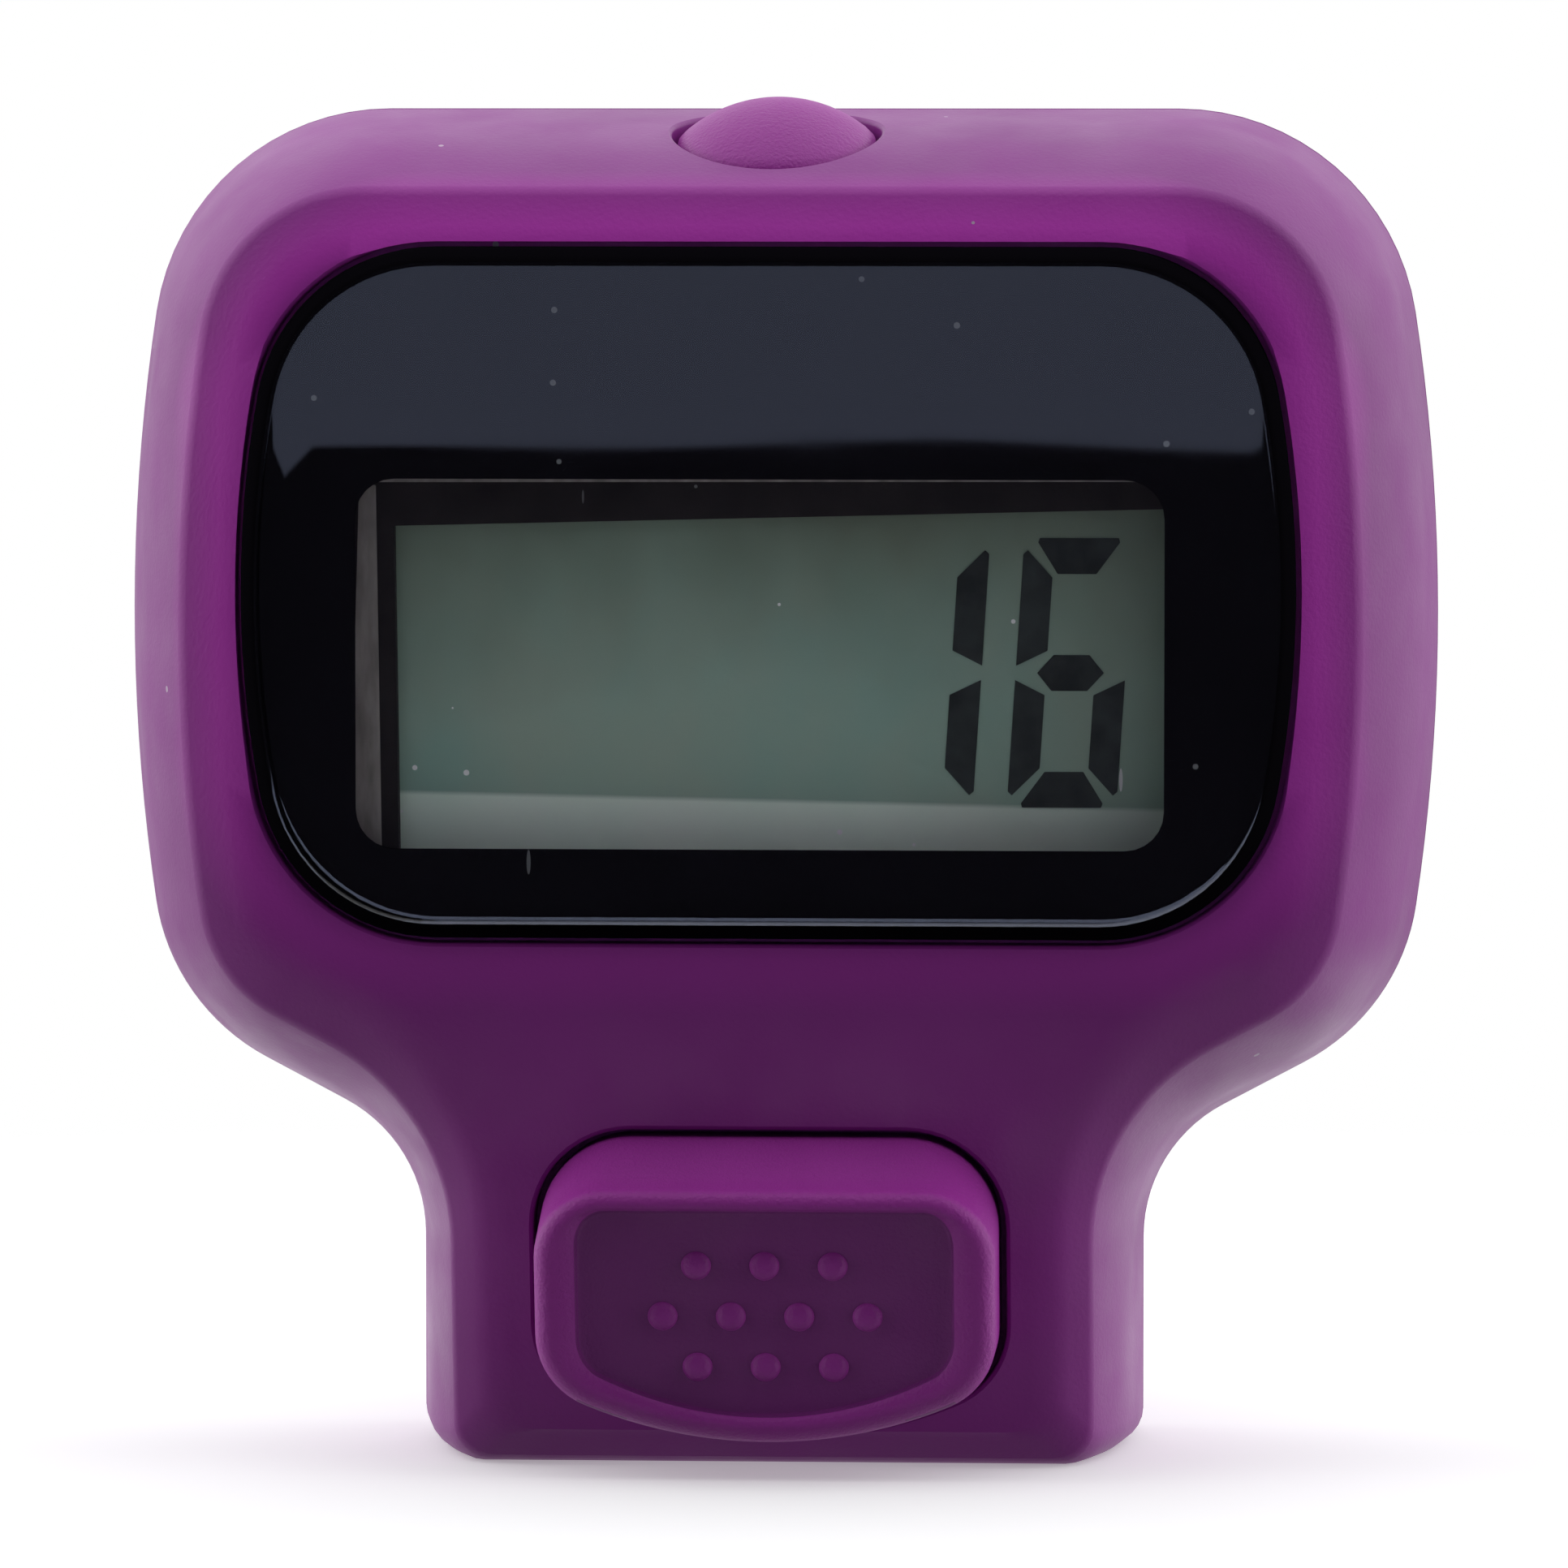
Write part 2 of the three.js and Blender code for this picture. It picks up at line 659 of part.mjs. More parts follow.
// The lip that centres the rear case in the front case
function rearLip() {
  const ring = (inset, y) => ({ points: caseOutline(inset, inset, inset), y: level(y) });
  const outer = loft([ring(lipInset, rearInside), ring(lipInset, frontDepth - lipHeight)]);
  const inner = loft([
    ring(lipInset + lipThickness, rearFace),
    ring(lipInset + lipThickness, frontDepth - lipHeight - wall),
  ]);
  const bossRoom = eachMirrored(caseScrewPlaces, (x, z) =>
    barY(x, z, caseBossRadius + lipGap, frontDepth - lipHeight - wall, frontDepth - bossGap / 2),
  );
  return cutAll(outer.subtract(inner), bossRoom);
}

// The tube that holds the battery, and the boss for its cover's screw
function batteryTube() {
  const tube = barY(0, batteryHeight, tubeRadius, batteryFront + batteryRim, coverSeat, wideSegments);
  return tube.add(barY(coverScrewX, batteryHeight, coverBossRadius, batteryFront + batteryRim, coverSeat));
}

function rearCase() {
  const hollowRing = (y) => ({ points: caseOutline(wall, wall, wall), y: level(y) });
  const hollow = loft([hollowRing(rearInside), hollowRing(frontDepth - wall)]);
  const contactSlot = box(
    -tubeRadius - contactSheet,
    0,
    batteryFront,
    batteryFront + batteryThickness,
    batteryHeight - contactWidth / 2 - batteryRoom,
    batteryHeight + contactWidth / 2 + batteryRoom,
  );
  const bosses = eachMirrored(caseScrewPlaces, (x, z) => barY(x, z, rearBossRadius, frontDepth, rearInside));
  const shell = rearBlock().subtract(hollow.subtract(fingerCylinder(saddleRadius + rearWall)));
  const joined = addAll(shell, [...bosses, batteryTube(), rearLip()]);
  const slots = [strapUpper, strapLower].map((z) =>
    box(
      -strapWidth / 2 - strapGap,
      strapWidth / 2 + strapGap,
      rearInside - wall / 2,
      rearFace + wall,
      z - strapThickness / 2 - strapGap,
      z + strapThickness / 2 + strapGap,
    ),
  );
  const screwHoles = eachMirrored(caseScrewPlaces, (x, z) =>
    barY(x, z, caseScrewRadius + screwGap, frontDepth - wall, rearFace + wall),
  );
  const headHoles = eachMirrored(caseScrewPlaces, (x, z) =>
    barY(x, z, caseScrewHeadRadius + screwGap, caseScrewSeatBack, rearFace + wall),
  );
  return cutAll(joined, [
    fingerCylinder(saddleRadius),
    barY(0, batteryHeight, batteryRadius + batteryRoom, frontDepth - wall, rearFace + wall, wideSegments),
    pill(0, coverSeat, rearFace + wall),
    barY(coverScrewX, batteryHeight, coverScrewRadius + screwGap, frontDepth - wall, rearFace + wall),
    contactSlot,
    ...slots,
    ...screwHoles,
    ...headHoles,
  ]);
}

function displayLens() {
  const rings = [{ points: lensOutline(0), y: level(lensBack) }];
  for (let i = 0; i <= edgeSteps; i++) {
    const a = (Math.PI / 2) * (i / edgeSteps);
    rings.push({
      points: lensOutline(-lensEdgeRadius * (1 - Math.cos(a))),
      y: level(lensFront + lensEdgeRadius * (1 - Math.sin(a))),
    });
  }
  return loft(rings);
}

function lensMask() {
  const sheet = loft([
    { points: lensOutline(-maskInset), y: level(seatFront) },
    { points: lensOutline(-maskInset), y: level(lensBack) },
  ]);
  const view = roundedRectangle(windowLeft, windowRight, windowBottom, windowTop, windowCorner);
  return sheet.subtract(plate(view, lensBack - wall, seatFront + wall, cornerSteps));
}

function lcdHolder() {
  const half = cellHalfWidth + holderGap;
  const outer = box(
    -holderHalfWidth,
    holderHalfWidth,
    holderFront,
    boardFront,
    holderBottom,
    holderTop,
  );
  const room = box(-half, half, cellFront, boardFront + wall, cellBottom - holderGap, frontGlassTop + holderGap);
  const view = box(bezelLeft, bezelRight, holderFront - wall, boardFront, bezelBottom, bezelTop);
  return cutAll(outer, [room, view]);
}

function mainBoard() {
  const head = box(-boardHalfWidth, boardHalfWidth, boardFront, boardBack, boardShoulder, boardTop);
  const neck = box(
    -boardNeckHalfWidth,
    boardNeckHalfWidth,
    boardFront,
    boardBack,
    boardBottom,
    boardShoulder + boardThickness,
  );
  const holes = eachMirrored(boardScrewPlaces, (x, z) =>
    barY(x, z, boardScrewRadius + screwGap, boardFront - wall, boardBack + wall),
  );
  return cutAll(head.add(neck), holes);
}

function chipBlob() {
  const profile = [new THREE.Vector2(0, 0)];
  for (let i = 0; i < chipSteps; i++) {
    const a = (Math.PI / 2) * (i / chipSteps);
    profile.push(new THREE.Vector2(chipRadius * Math.cos(a), chipHeight * Math.sin(a)));
  }
  profile.push(new THREE.Vector2(0, chipHeight));
  const blob = new THREE.LatheGeometry(profile, roundSegments);
  return solid(blob.translate(chipCentre[0], boardBack, chipCentre[1]));
}

// A small part soldered flat on the back of the board
function chipComponent(size, centre) {
  return box(
    centre[0] - size[0] / 2,
    centre[0] + size[0] / 2,
    boardBack,
    boardBack + size[1],
    centre[1] - size[2] / 2,
    centre[1] + size[2] / 2,
  );
}

// Places of the raised pips on the count button's face: short rows of three, four and three
function pipPlaces() {
  const middle = (buttonBottom + buttonRimTop) / 2;
  const places = [];
  for (const [row, count] of [
    [1, 3],
    [0, 4],
    [-1, 3],
  ]) {
    for (let i = 0; i < count; i++) {
      places.push([(i - (count - 1) / 2) * pipPitch, middle + row * pipRowPitch]);
    }
  }
  return places;
}

const buttonFront = (z) => neckPlane(z) - buttonProud / Math.cos(neckTilt);
const flangeFront = (z) => faceWall + flangeGap + neckPlane(z);
const plungerTip = boardFront - countSwitchHeight - switchSheet - plungerProud;

function countButton() {
  const rim = (inset) => buttonOutline(buttonRimTop, buttonRimCorner, inset);
  const base = (inset) => buttonOutline(buttonBaseTop, buttonBaseCorner, inset);
  const rings = [
    { points: base(0), y: (z) => flangeFront(z) + flangeThickness },
    { points: base(0), y: neckPlane },
  ];
  for (let i = 0; i <= edgeSteps; i++) {
    const a = (Math.PI / 2) * (i / edgeSteps);
    rings.push({
      points: rim(buttonEdge * (1 - Math.cos(a))),
      y: (z) => buttonFront(z) + buttonEdge * (1 - Math.sin(a)),
    });
  }
  const flangeHalf = buttonHalfWidth + flangeWidth;
  const flangeTop = buttonBaseTop + flangeWidth;
  const corner = flangeHalf - flangeCorner;
  const flangePoints = [
    ...arc(corner, flangeBottom + flangeCorner, flangeCorner, -Math.PI / 2, 0, edgeSteps),
    ...arc(corner, flangeTop - flangeCorner, flangeCorner, 0, Math.PI / 2, edgeSteps),
  ];
  const flange = loft([
    { points: flangePoints, y: (z) => flangeFront(z) + flangeThickness },
    { points: flangePoints, y: flangeFront },
  ]);
  const dish = loft([
    { points: dishOutline(), y: (z) => buttonFront(z) + buttonInset },
    { points: dishOutline(), y: level(aheadOfFace) },
  ]);
  const hollow = loft([
    { points: base(buttonWall), y: level(boardFront) },
    { points: rim(buttonWall), y: (z) => buttonFront(z) + buttonInset + buttonWall },
  ]);
  const pips = pipPlaces().map(([x, z]) => {
    const floor = buttonFront(z) + buttonInset;
    return barY(x, z, pipRadius, floor - pipHeight, floor + buttonWall / 2, smallSegments);
  });
  const postEnd = plungerTip - plungerRestGap;
  const postStart = buttonFront(countSwitchCentre) + buttonInset + buttonWall / 2;
  const post = barY(0, countSwitchCentre, postRadius, postStart, postEnd);
  return addAll(loft(rings).add(flange).subtract(hollow).subtract(dish), [post, ...pips]);
}

function countSwitchBody() {
  const half = countSwitchSize / 2;
  const front = boardFront - countSwitchHeight;
  const body = box(-half, half, front, boardFront, countSwitchCentre - half, countSwitchCentre + half);
  const boreEnd = front + plungerSunk + buttonTravel + plungerSpare;
  const bore = barY(0, countSwitchCentre, plungerRadius + plungerGap, front - wall, boreEnd);
  return body.subtract(bore);
}

function countSwitchCover() {
  const half = countSwitchSize / 2;
  const back = boardFront - countSwitchHeight;
  const sheet = box(-half, half, back - switchSheet, back, countSwitchCentre - half, countSwitchCentre + half);
  return sheet.subtract(barY(0, countSwitchCentre, plungerRadius + plungerGap, back - wall, back + wall));
}

function countSwitchPlunger() {
  const back = boardFront - countSwitchHeight + plungerSunk;
  return barY(0, countSwitchCentre, plungerRadius, plungerTip, back);
}

// Leans what lies above a height towards the face, as the top wall does round the reset button.
function leanAbove(geometry, floor) {
  const points = geometry.getAttribute("position");
  for (let i = 0; i < points.count; i++) {
    const z = points.getZ(i);
    if (z > floor) points.setZ(i, z + resetLean * (points.getY(i) - resetDepth));
  }
  return geometry;
}

function resetButton() {
  const capBottom = resetFlangeTop - resetFlangeThickness / 2;
  const domeRadius = (resetRadius ** 2 + resetDomeRise ** 2) / (2 * resetDomeRise);
  const reach = Math.asin(resetRadius / domeRadius);
  const profile = [new THREE.Vector2(0, capBottom), new THREE.Vector2(resetRadius, capBottom)];
  for (let i = 0; i < cornerSteps; i++) {
    const a = reach * (1 - i / cornerSteps);
    const rise = domeRadius * (Math.cos(a) - Math.cos(reach));
    profile.push(new THREE.Vector2(domeRadius * Math.sin(a), resetRimHeight + rise));
  }
  profile.push(new THREE.Vector2(0, resetRimHeight + resetDomeRise));
  const cap = new THREE.LatheGeometry(profile, roundSegments).rotateX(Math.PI / 2).translate(0, resetDepth, 0);
  const flange = box(
    -resetFlangeHalfWidth,
    resetFlangeHalfWidth,
    resetDepth - resetFlangeHalfDepth,
    resetDepth + resetFlangeHalfDepth,
    resetFlangeBottom,
    resetFlangeTop,
  );
  const stem = barZ(0, resetDepth, resetStemRadius, resetStemEnd, resetFlangeTop);
  return solid(leanAbove(cap, capBottom)).add(flange).add(stem);
}

function resetSwitchBody() {
  const body = box(
    -resetSwitchHalfWidth + switchSheet,
    resetSwitchHalfWidth - switchSheet,
    resetSwitchFront,
    boardFront,
    resetSwitchBottom,
    resetSwitchTop,
  );
  const bore = barZ(
    0,
    resetDepth,
    resetPlungerRadius + plungerGap,
    resetSwitchTop - resetPlungerSunk - resetTravel - plungerSpare,
    resetSwitchTop + wall,
  );
  return body.subtract(bore);
}

// The bent metal sheet that clamps the reset switch: a top and two legs
function resetSwitchFrame() {
  const outer = box(
    -resetSwitchHalfWidth,
    resetSwitchHalfWidth,
    resetSwitchFront,
    boardFront,
    resetSwitchBottom,
    resetSwitchTop + switchSheet,
  );
  const inner = box(
    -resetSwitchHalfWidth + switchSheet,
    resetSwitchHalfWidth - switchSheet,
    resetSwitchFront - wall,
    boardFront + wall,
    resetSwitchBottom - wall,
    resetSwitchTop,
  );
  const hole = barZ(0, resetDepth, resetPlungerRadius + plungerGap, resetSwitchTop - wall, height);
  return cutAll(outer, [inner, hole]);
}

function resetSwitchPlunger() {
  return barZ(0, resetDepth, resetPlungerRadius, resetSwitchTop - resetPlungerSunk, resetPlungerTip);
}

function battery() {
  const profile = [
    [0, 0],
    [batteryRadius - batteryCapInset, 0],
    [batteryRadius - batteryCapInset, batteryRim],
    [batteryRadius - batteryRim, batteryRim],
    [batteryRadius, batteryRim * 2],
    [batteryRadius, batteryThickness - batteryRim],
    [batteryRadius - batteryRim, batteryThickness],
    [0, batteryThickness],
  ].map(([r, h]) => new THREE.Vector2(r, h));
  const cell = new THREE.LatheGeometry(profile, wideSegments);
  return solid(cell.translate(0, batteryFront, batteryHeight));
}

// The contact at the side of the battery: an upright blade with a foot on the board
function positiveContact() {
  const x = -batteryRadius - batteryRoom;
  const half = contactWidth / 2;
  const blade = box(
    x - contactSheet,
    x,
    boardBack,
    batteryFront + batteryThickness - batteryRim,
    batteryHeight - half,
    batteryHeight + half,
  );
  const foot = box(
    x - contactWidth,
    x,
    boardBack,
    boardBack + contactSheet,
    batteryHeight - half,
    batteryHeight + half,
  );
  return blade.add(foot);
}

// The contact under the battery: a flat sheet with a raised dimple
function negativeContact() {
  const half = contactWidth / 2;
  const sheet = box(
    -contactWidth,
    contactWidth,
    boardBack,
    boardBack + contactSheet,
    batteryHeight - half,
    batteryHeight + half,
  );
  const top = batteryFront - contactRestGap;
  return sheet.add(barY(0, batteryHeight, contactDimple, boardBack + contactSheet / 2, top, smallSegments));
}

function batteryCover() {
  const outer = pill(-coverGap, coverSeat, rearFace);
  const plug = barY(
    0,
    batteryHeight,
    batteryRadius - coverGap,
    batteryFront + batteryThickness + coverGap,
    coverSeat + coverThickness / 2,
    wideSegments,
  );
  const headHole = barY(
    coverScrewX,
    batteryHeight,
    coverScrewHeadRadius + screwGap,
    rearFace - coverScrewHead,
    rearFace + wall,
  );
  const hole = barY(coverScrewX, batteryHeight, coverScrewRadius + screwGap, coverSeat - wall, rearFace + wall);
  return cutAll(outer.add(plug), [headHole, hole]);
}

// A cross-head screw at (x, z), with its head's underside at y and its point towards the face
function screw(x, z, y, radius, headRadius, head, length) {
  const reach = headRadius * crossLengthShare;
  const half = headRadius * crossWidthShare;
  const floor = y + head * (1 - crossDepthShare);
  const shank = barY(x, z, radius, y - length, y + head / 2, smallSegments);
  const cap = barY(x, z, headRadius, y, y + head);
  const across = box(x - reach, x + reach, floor, y + head + wall, z - half, z + half);
  const upright = box(x - half, x + half, floor, y + head + wall, z - reach, z + reach);
  return cutAll(cap.add(shank), [across, upright]);
}

const caseScrew = (x, z) =>
  screw(x, z, caseScrewSeatBack, caseScrewRadius, caseScrewHeadRadius, caseScrewHead, caseScrewLength);

const boardScrew = (x, z) =>
  screw(x, z, boardBack, boardScrewRadius, boardScrewHeadRadius, boardScrewHead, boardScrewLength);

const coverScrew = () =>
  screw(
    coverScrewX,
    batteryHeight,
    rearFace - coverScrewHead,
    coverScrewRadius,
    coverScrewHeadRadius,
    coverScrewHead,
    coverScrewLength,
  );

// A strap half, as a band across X whose middle line runs through points [y, z]
function strapBand(line) {
  const side = (offset) =>
    line.map(([y, z], i) => {
      const before = line[Math.max(i - 1, 0)];
      const after = line[Math.min(i + 1, line.length - 1)];
      const run = Math.hypot(after[0] - before[0], after[1] - before[1]);
      const ny = -(after[1] - before[1]) / run;
      const nz = (after[0] - before[0]) / run;
      return [y + ny * offset, z + nz * offset];
    });
  const outline = [...side(strapThickness / 2), ...side(-strapThickness / 2).reverse()];
  const shape = new THREE.Shape(outline.map(([y, z]) => new THREE.Vector2(y, z)));
  const band = new THREE.ExtrudeGeometry(shape, { depth: strapWidth, bevelEnabled: false });
  // The outline's own X and Y become Y and Z, and the depth runs along X.
  const turn = new THREE.Matrix4().makeBasis(
    new THREE.Vector3(0, 1, 0),
    new THREE.Vector3(0, 0, 1),
    new THREE.Vector3(1, 0, 0),
  );
  return solid(band.applyMatrix4(turn).translate(-strapWidth / 2, 0, 0));
}

// The bar that keeps a strap half inside the rear case
function strapBar(z) {
  const back = rearInside - strapGap;
  return box(
    -strapBarWidth / 2,
    strapBarWidth / 2,
    back - strapBarDepth,
    back,
    z - strapBarHeight / 2,
    z + strapBarHeight / 2,
  );
}

// A point of the strap loop at an angle, where 0 is straight back and a quarter turn is up
const loopPoint = (angle, radius) => [strapTurn + radius * Math.cos(angle), strapMiddle + radius * Math.sin(angle)];

// A round bar through the strap along the loop's radius
function radialBar(angle, radius, r0, r1) {
  const bar = new THREE.CylinderGeometry(radius, radius, r1 - r0, smallSegments);
  bar.translate(0, (r0 + r1) / 2, 0).rotateX(angle);
  return solid(bar.translate(0, strapTurn, strapMiddle));
}

const outerLoop = strapRadius + strapThickness + strapOverlapGap;

function strapPegHalf() {
  const line = [[rearInside - strapBarDepth, strapLower]];
  for (let i = 0; i <= strapSteps; i++) {
    const angle = -Math.PI / 2 + ((Math.PI / 2 + strapTipAngle) * i) / strapSteps;
    line.push(loopPoint(angle, strapRadius));
  }
  const headStart = outerLoop + strapThickness / 2 + pegGap;
  const peg = radialBar(pegAngle, pegRadius, strapRadius, headStart + pegHead / 2);
  const head = radialBar(pegAngle, pegHeadRadius, headStart, headStart + pegHead);
  return addAll(strapBand(line), [strapBar(strapLower), peg, head]);
}

function strapHoleHalf() {
  const line = [[rearInside - strapBarDepth, strapUpper]];
  for (let i = 0; i <= strapSteps; i++) {
    const angle = Math.PI / 2 - ((Math.PI / 2 + strapTipAngle) * i) / strapSteps;
    const t = Math.min((Math.PI / 2 - angle) / strapSwellAngle, 1);
    const grown = t * t * (3 - 2 * t);
    line.push(loopPoint(angle, strapRadius + (outerLoop - strapRadius) * grown));
  }
  const turn = strapHolePitch / outerLoop;
  const angles = [pegAngle];
  for (let i = 1; i <= strapHolesInward; i++) angles.push(pegAngle - i * turn);
  for (let i = 1; i <= strapHolesOutward; i++) angles.push(pegAngle + i * turn);
  const holes = angles.map((angle) =>
    radialBar(angle, strapHoleRadius, outerLoop - strapThickness, outerLoop + strapThickness),
  );
  return cutAll(strapBand(line).add(strapBar(strapUpper)), holes);
}

// Materials

const finish = (color, roughness, metalness = 0) => new THREE.MeshStandardMaterial({ color, roughness, metalness });
const purplePlastic = finish(0x8a3a8c, 0.42);
const buttonPlastic = finish(0x8f3590, 0.48);
const rubber = finish(0x7d3580, 0.7);
const blackLens = finish(0x0b0a0f, 0.08);
const maskInk = finish(0x101014, 0.5);
const darkHolder = finish(0x1f1c1c, 0.6);
const glass = finish(0x9fb0a4, 0.1);
const reflector = finish(0x7d8f82, 0.45);
const board = finish(0x1f5c34, 0.55);
const epoxy = finish(0x141414, 0.35);
const ceramic = finish(0xa58a68, 0.5);
const switchPlastic = finish(0x1b1b1d, 0.5);
const zebraRubber = finish(0xc9c2b4, 0.8);
const steel = finish(0xb9bcc0, 0.3, 1);
const brass = finish(0xc8a558, 0.32, 1);

// Assembly

const counter = new THREE.Group();
const assembly = new THREE.Group();
const footStart = footEdgeDepth + bend(0) * (1 - footEdgeDepth / frontDepth);
const footEnd = rearFace - rearEdgeRadius;
assembly.position.y = -(footStart + footEnd) / 2;
counter.add(assembly);

function place(name, material, shape) {
  const mesh = shape.getMesh();
  const geometry = new THREE.BufferGeometry();
  geometry.setAttribute("position", new THREE.BufferAttribute(new Float32Array(mesh.vertProperties), 3));
  geometry.setIndex(new THREE.BufferAttribute(new Uint32Array(mesh.triVerts), 1));
  geometry.computeVertexNormals();
  const piece = new THREE.Mesh(geometry, material);
  piece.name = name;
  assembly.add(piece);
}

place("front_case", purplePlastic, frontCase());
place("rear_case", purplePlastic, rearCase());
place("display_lens", blackLens, displayLens());
place("lens_mask", maskInk, lensMask());
place("lcd_holder", darkHolder, lcdHolder());
place(
  "lcd_front_polarizer",
  glass,
  box(
    -cellHalfWidth + polarizerInset,
    cellHalfWidth - polarizerInset,
    cellFront,
    frontGlassFront,
    cellBottom + polarizerInset,
    rearGlassTop,
  ),
);
place(
  "lcd_front_glass",
  glass,
  box(-cellHalfWidth, cellHalfWidth, frontGlassFront, rearGlassFront, cellBottom, frontGlassTop),
);
place(
  "lcd_rear_glass",
  glass,
  box(-cellHalfWidth, cellHalfWidth, rearGlassFront, reflectorFront, cellBottom, rearGlassTop),
);
place(
  "lcd_reflector",
  reflector,
  box(
    -cellHalfWidth + polarizerInset,
    cellHalfWidth - polarizerInset,
    reflectorFront,
    reflectorFront + reflectorThickness,
    cellBottom + polarizerInset,
    rearGlassTop - polarizerInset,
  ),
);
place(
  "zebra_connector",
  zebraRubber,
  box(
    -zebraHalfWidth,
    zebraHalfWidth,
    rearGlassFront,
    boardFront,
    rearGlassTop + zebraStep,
    rearGlassTop + zebraStep + zebraThickness,
  ),
);
place("main_board", board, mainBoard());
place("chip_blob", epoxy, chipBlob());
place("capacitor", ceramic, chipComponent(capacitorSize, capacitorCentre));
place("resistor", epoxy, chipComponent(resistorSize, resistorCentre));
place("count_button", buttonPlastic, countButton());
place("count_switch_body", switchPlastic, countSwitchBody());
place("count_switch_cover", steel, countSwitchCover());
place("count_switch_plunger", switchPlastic, countSwitchPlunger());
place("reset_button", buttonPlastic, resetButton());
place("reset_switch_body", switchPlastic, resetSwitchBody());
place("reset_switch_frame", steel, resetSwitchFrame());
place("reset_switch_plunger", switchPlastic, resetSwitchPlunger());
place("battery", steel, battery());
place("battery_contact_positive", brass, positiveContact());
place("battery_contact_negative", brass, negativeContact());
place("battery_cover", purplePlastic, batteryCover());
place("battery_cover_screw", steel, coverScrew());
eachMirrored(caseScrewPlaces, (x, z, number) => place("case_screw_" + number, steel, caseScrew(x, z)));
eachMirrored(boardScrewPlaces, (x, z, number) => place("board_screw_" + number, steel, boardScrew(x, z)));
place("strap_peg_half", rubber, strapPegHalf());
place("strap_hole_half", rubber, strapHoleHalf());

export default counter;
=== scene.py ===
"""A finger tally counter, dressed for the studio around its construction model."""

import math

import bmesh
import bpy
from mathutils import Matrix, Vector


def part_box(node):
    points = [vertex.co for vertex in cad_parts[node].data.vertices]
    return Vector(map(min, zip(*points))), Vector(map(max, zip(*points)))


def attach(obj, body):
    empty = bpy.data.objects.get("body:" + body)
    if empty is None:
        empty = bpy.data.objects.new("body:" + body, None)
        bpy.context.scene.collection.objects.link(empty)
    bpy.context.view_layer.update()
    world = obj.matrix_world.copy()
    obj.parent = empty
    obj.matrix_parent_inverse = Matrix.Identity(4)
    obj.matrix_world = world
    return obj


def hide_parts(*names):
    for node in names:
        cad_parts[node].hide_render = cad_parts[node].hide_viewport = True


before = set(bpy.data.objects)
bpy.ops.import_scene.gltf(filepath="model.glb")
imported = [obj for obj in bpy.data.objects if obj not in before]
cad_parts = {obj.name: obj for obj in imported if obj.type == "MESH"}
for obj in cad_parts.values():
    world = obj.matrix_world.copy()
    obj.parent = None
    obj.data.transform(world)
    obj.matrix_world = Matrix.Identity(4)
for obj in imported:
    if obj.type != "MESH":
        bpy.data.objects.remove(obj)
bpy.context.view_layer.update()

# Sizes are in millimetres in the counter's own frame: X to the right, Y from the face to the back, Z up.
MM = 0.001
MERGE = 0.0004 * MM

# Places that the construction model gives
front_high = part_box("front_case")[1]
lens_low, lens_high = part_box("display_lens")
battery_low, battery_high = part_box("battery")
LENS_PROUD = 0.45
FACE_Y = lens_low.y + LENS_PROUD * MM
HALF_WIDTH = front_high.x / MM
HEIGHT = front_high.z / MM
FRONT_DEPTH = (front_high.y - FACE_Y) / MM
REAR_FACE = (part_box("rear_case")[1].y - FACE_Y) / MM

# Case outline
SIDE_RADIUS = 57
SIDE_MIDDLE = 23.64
TOP_CORNER = 6.8
SHOULDER_RADIUS = 6.1
SHOULDER_HEIGHT = 16.34
SHOULDER_SLOPE = math.radians(28)
NECK_HALF_WIDTH = 10.3
NECK_CURVE = 4.3
FOOT_CORNER = 1

# Case walls and edges
WALL = 1.5
REAR_WALL = 1.35
FRONT_DRAFT = math.radians(9)
REAR_DRAFT = math.radians(3)
FRONT_SWEEP = 1.3
FRONT_SWEEP_DEPTH = 6
FRONT_EDGE = 0.75
FRONT_CROWN = math.radians(24)
CROWN_END = 4.05
CROWN_MIDDLE = 0.36
FOOT_CROWN_MIDDLE = 0.15
FOOT_CROWN_END = 0.35
REAR_EDGE = 1.5
HOLLOW_RELIEF = 2.6
NECK_SHARE = 0.6
FOOT_EDGE = 0.7
FOOT_EDGE_DEPTH = 1.7
NECK_SLOPE = math.tan(math.radians(13))
TILT_BLEND = 3.5
SEAM_CHAMFER = 0.12
SEAM_GAP = 0.1
REAR_MOUTH = 0.15
MOUTH_BEYOND = 1
SMALLEST_RADIUS = 0.2

# Display
LENS_HALF_WIDTH = lens_high.x / MM
LENS_BOTTOM = lens_low.z / MM
LENS_TOP = lens_high.z / MM
LENS_BACK = (lens_high.y - FACE_Y) / MM
LENS_CORNER = 5
LENS_SIDE_RADIUS = 31
LENS_BEVEL = ((0, 0.52), (0.03, 0.42), (0.08, 0.33), (0.25, 0.13))
LENS_BEND = ((0.29, 0.09), (0.33, 0.06), (0.37, 0.037), (0.41, 0.02), (0.45, 0.009), (0.49, 0.002), (0.53, 0))
# Lens faces tilted beyond this take the painted shade of the bevel
LENS_SHADE_ANGLE = math.radians(22)
LENS_GAP = 0.15
LENS_MOUTH = 0.14
LENS_BACK_EDGE = 0.08
LENS_SEAT_MARGIN = 1
MASK_MARGIN = 0.1
MASK_GAP = 0.02
TILT_END = LENS_BOTTOM - TILT_BLEND - 1.2

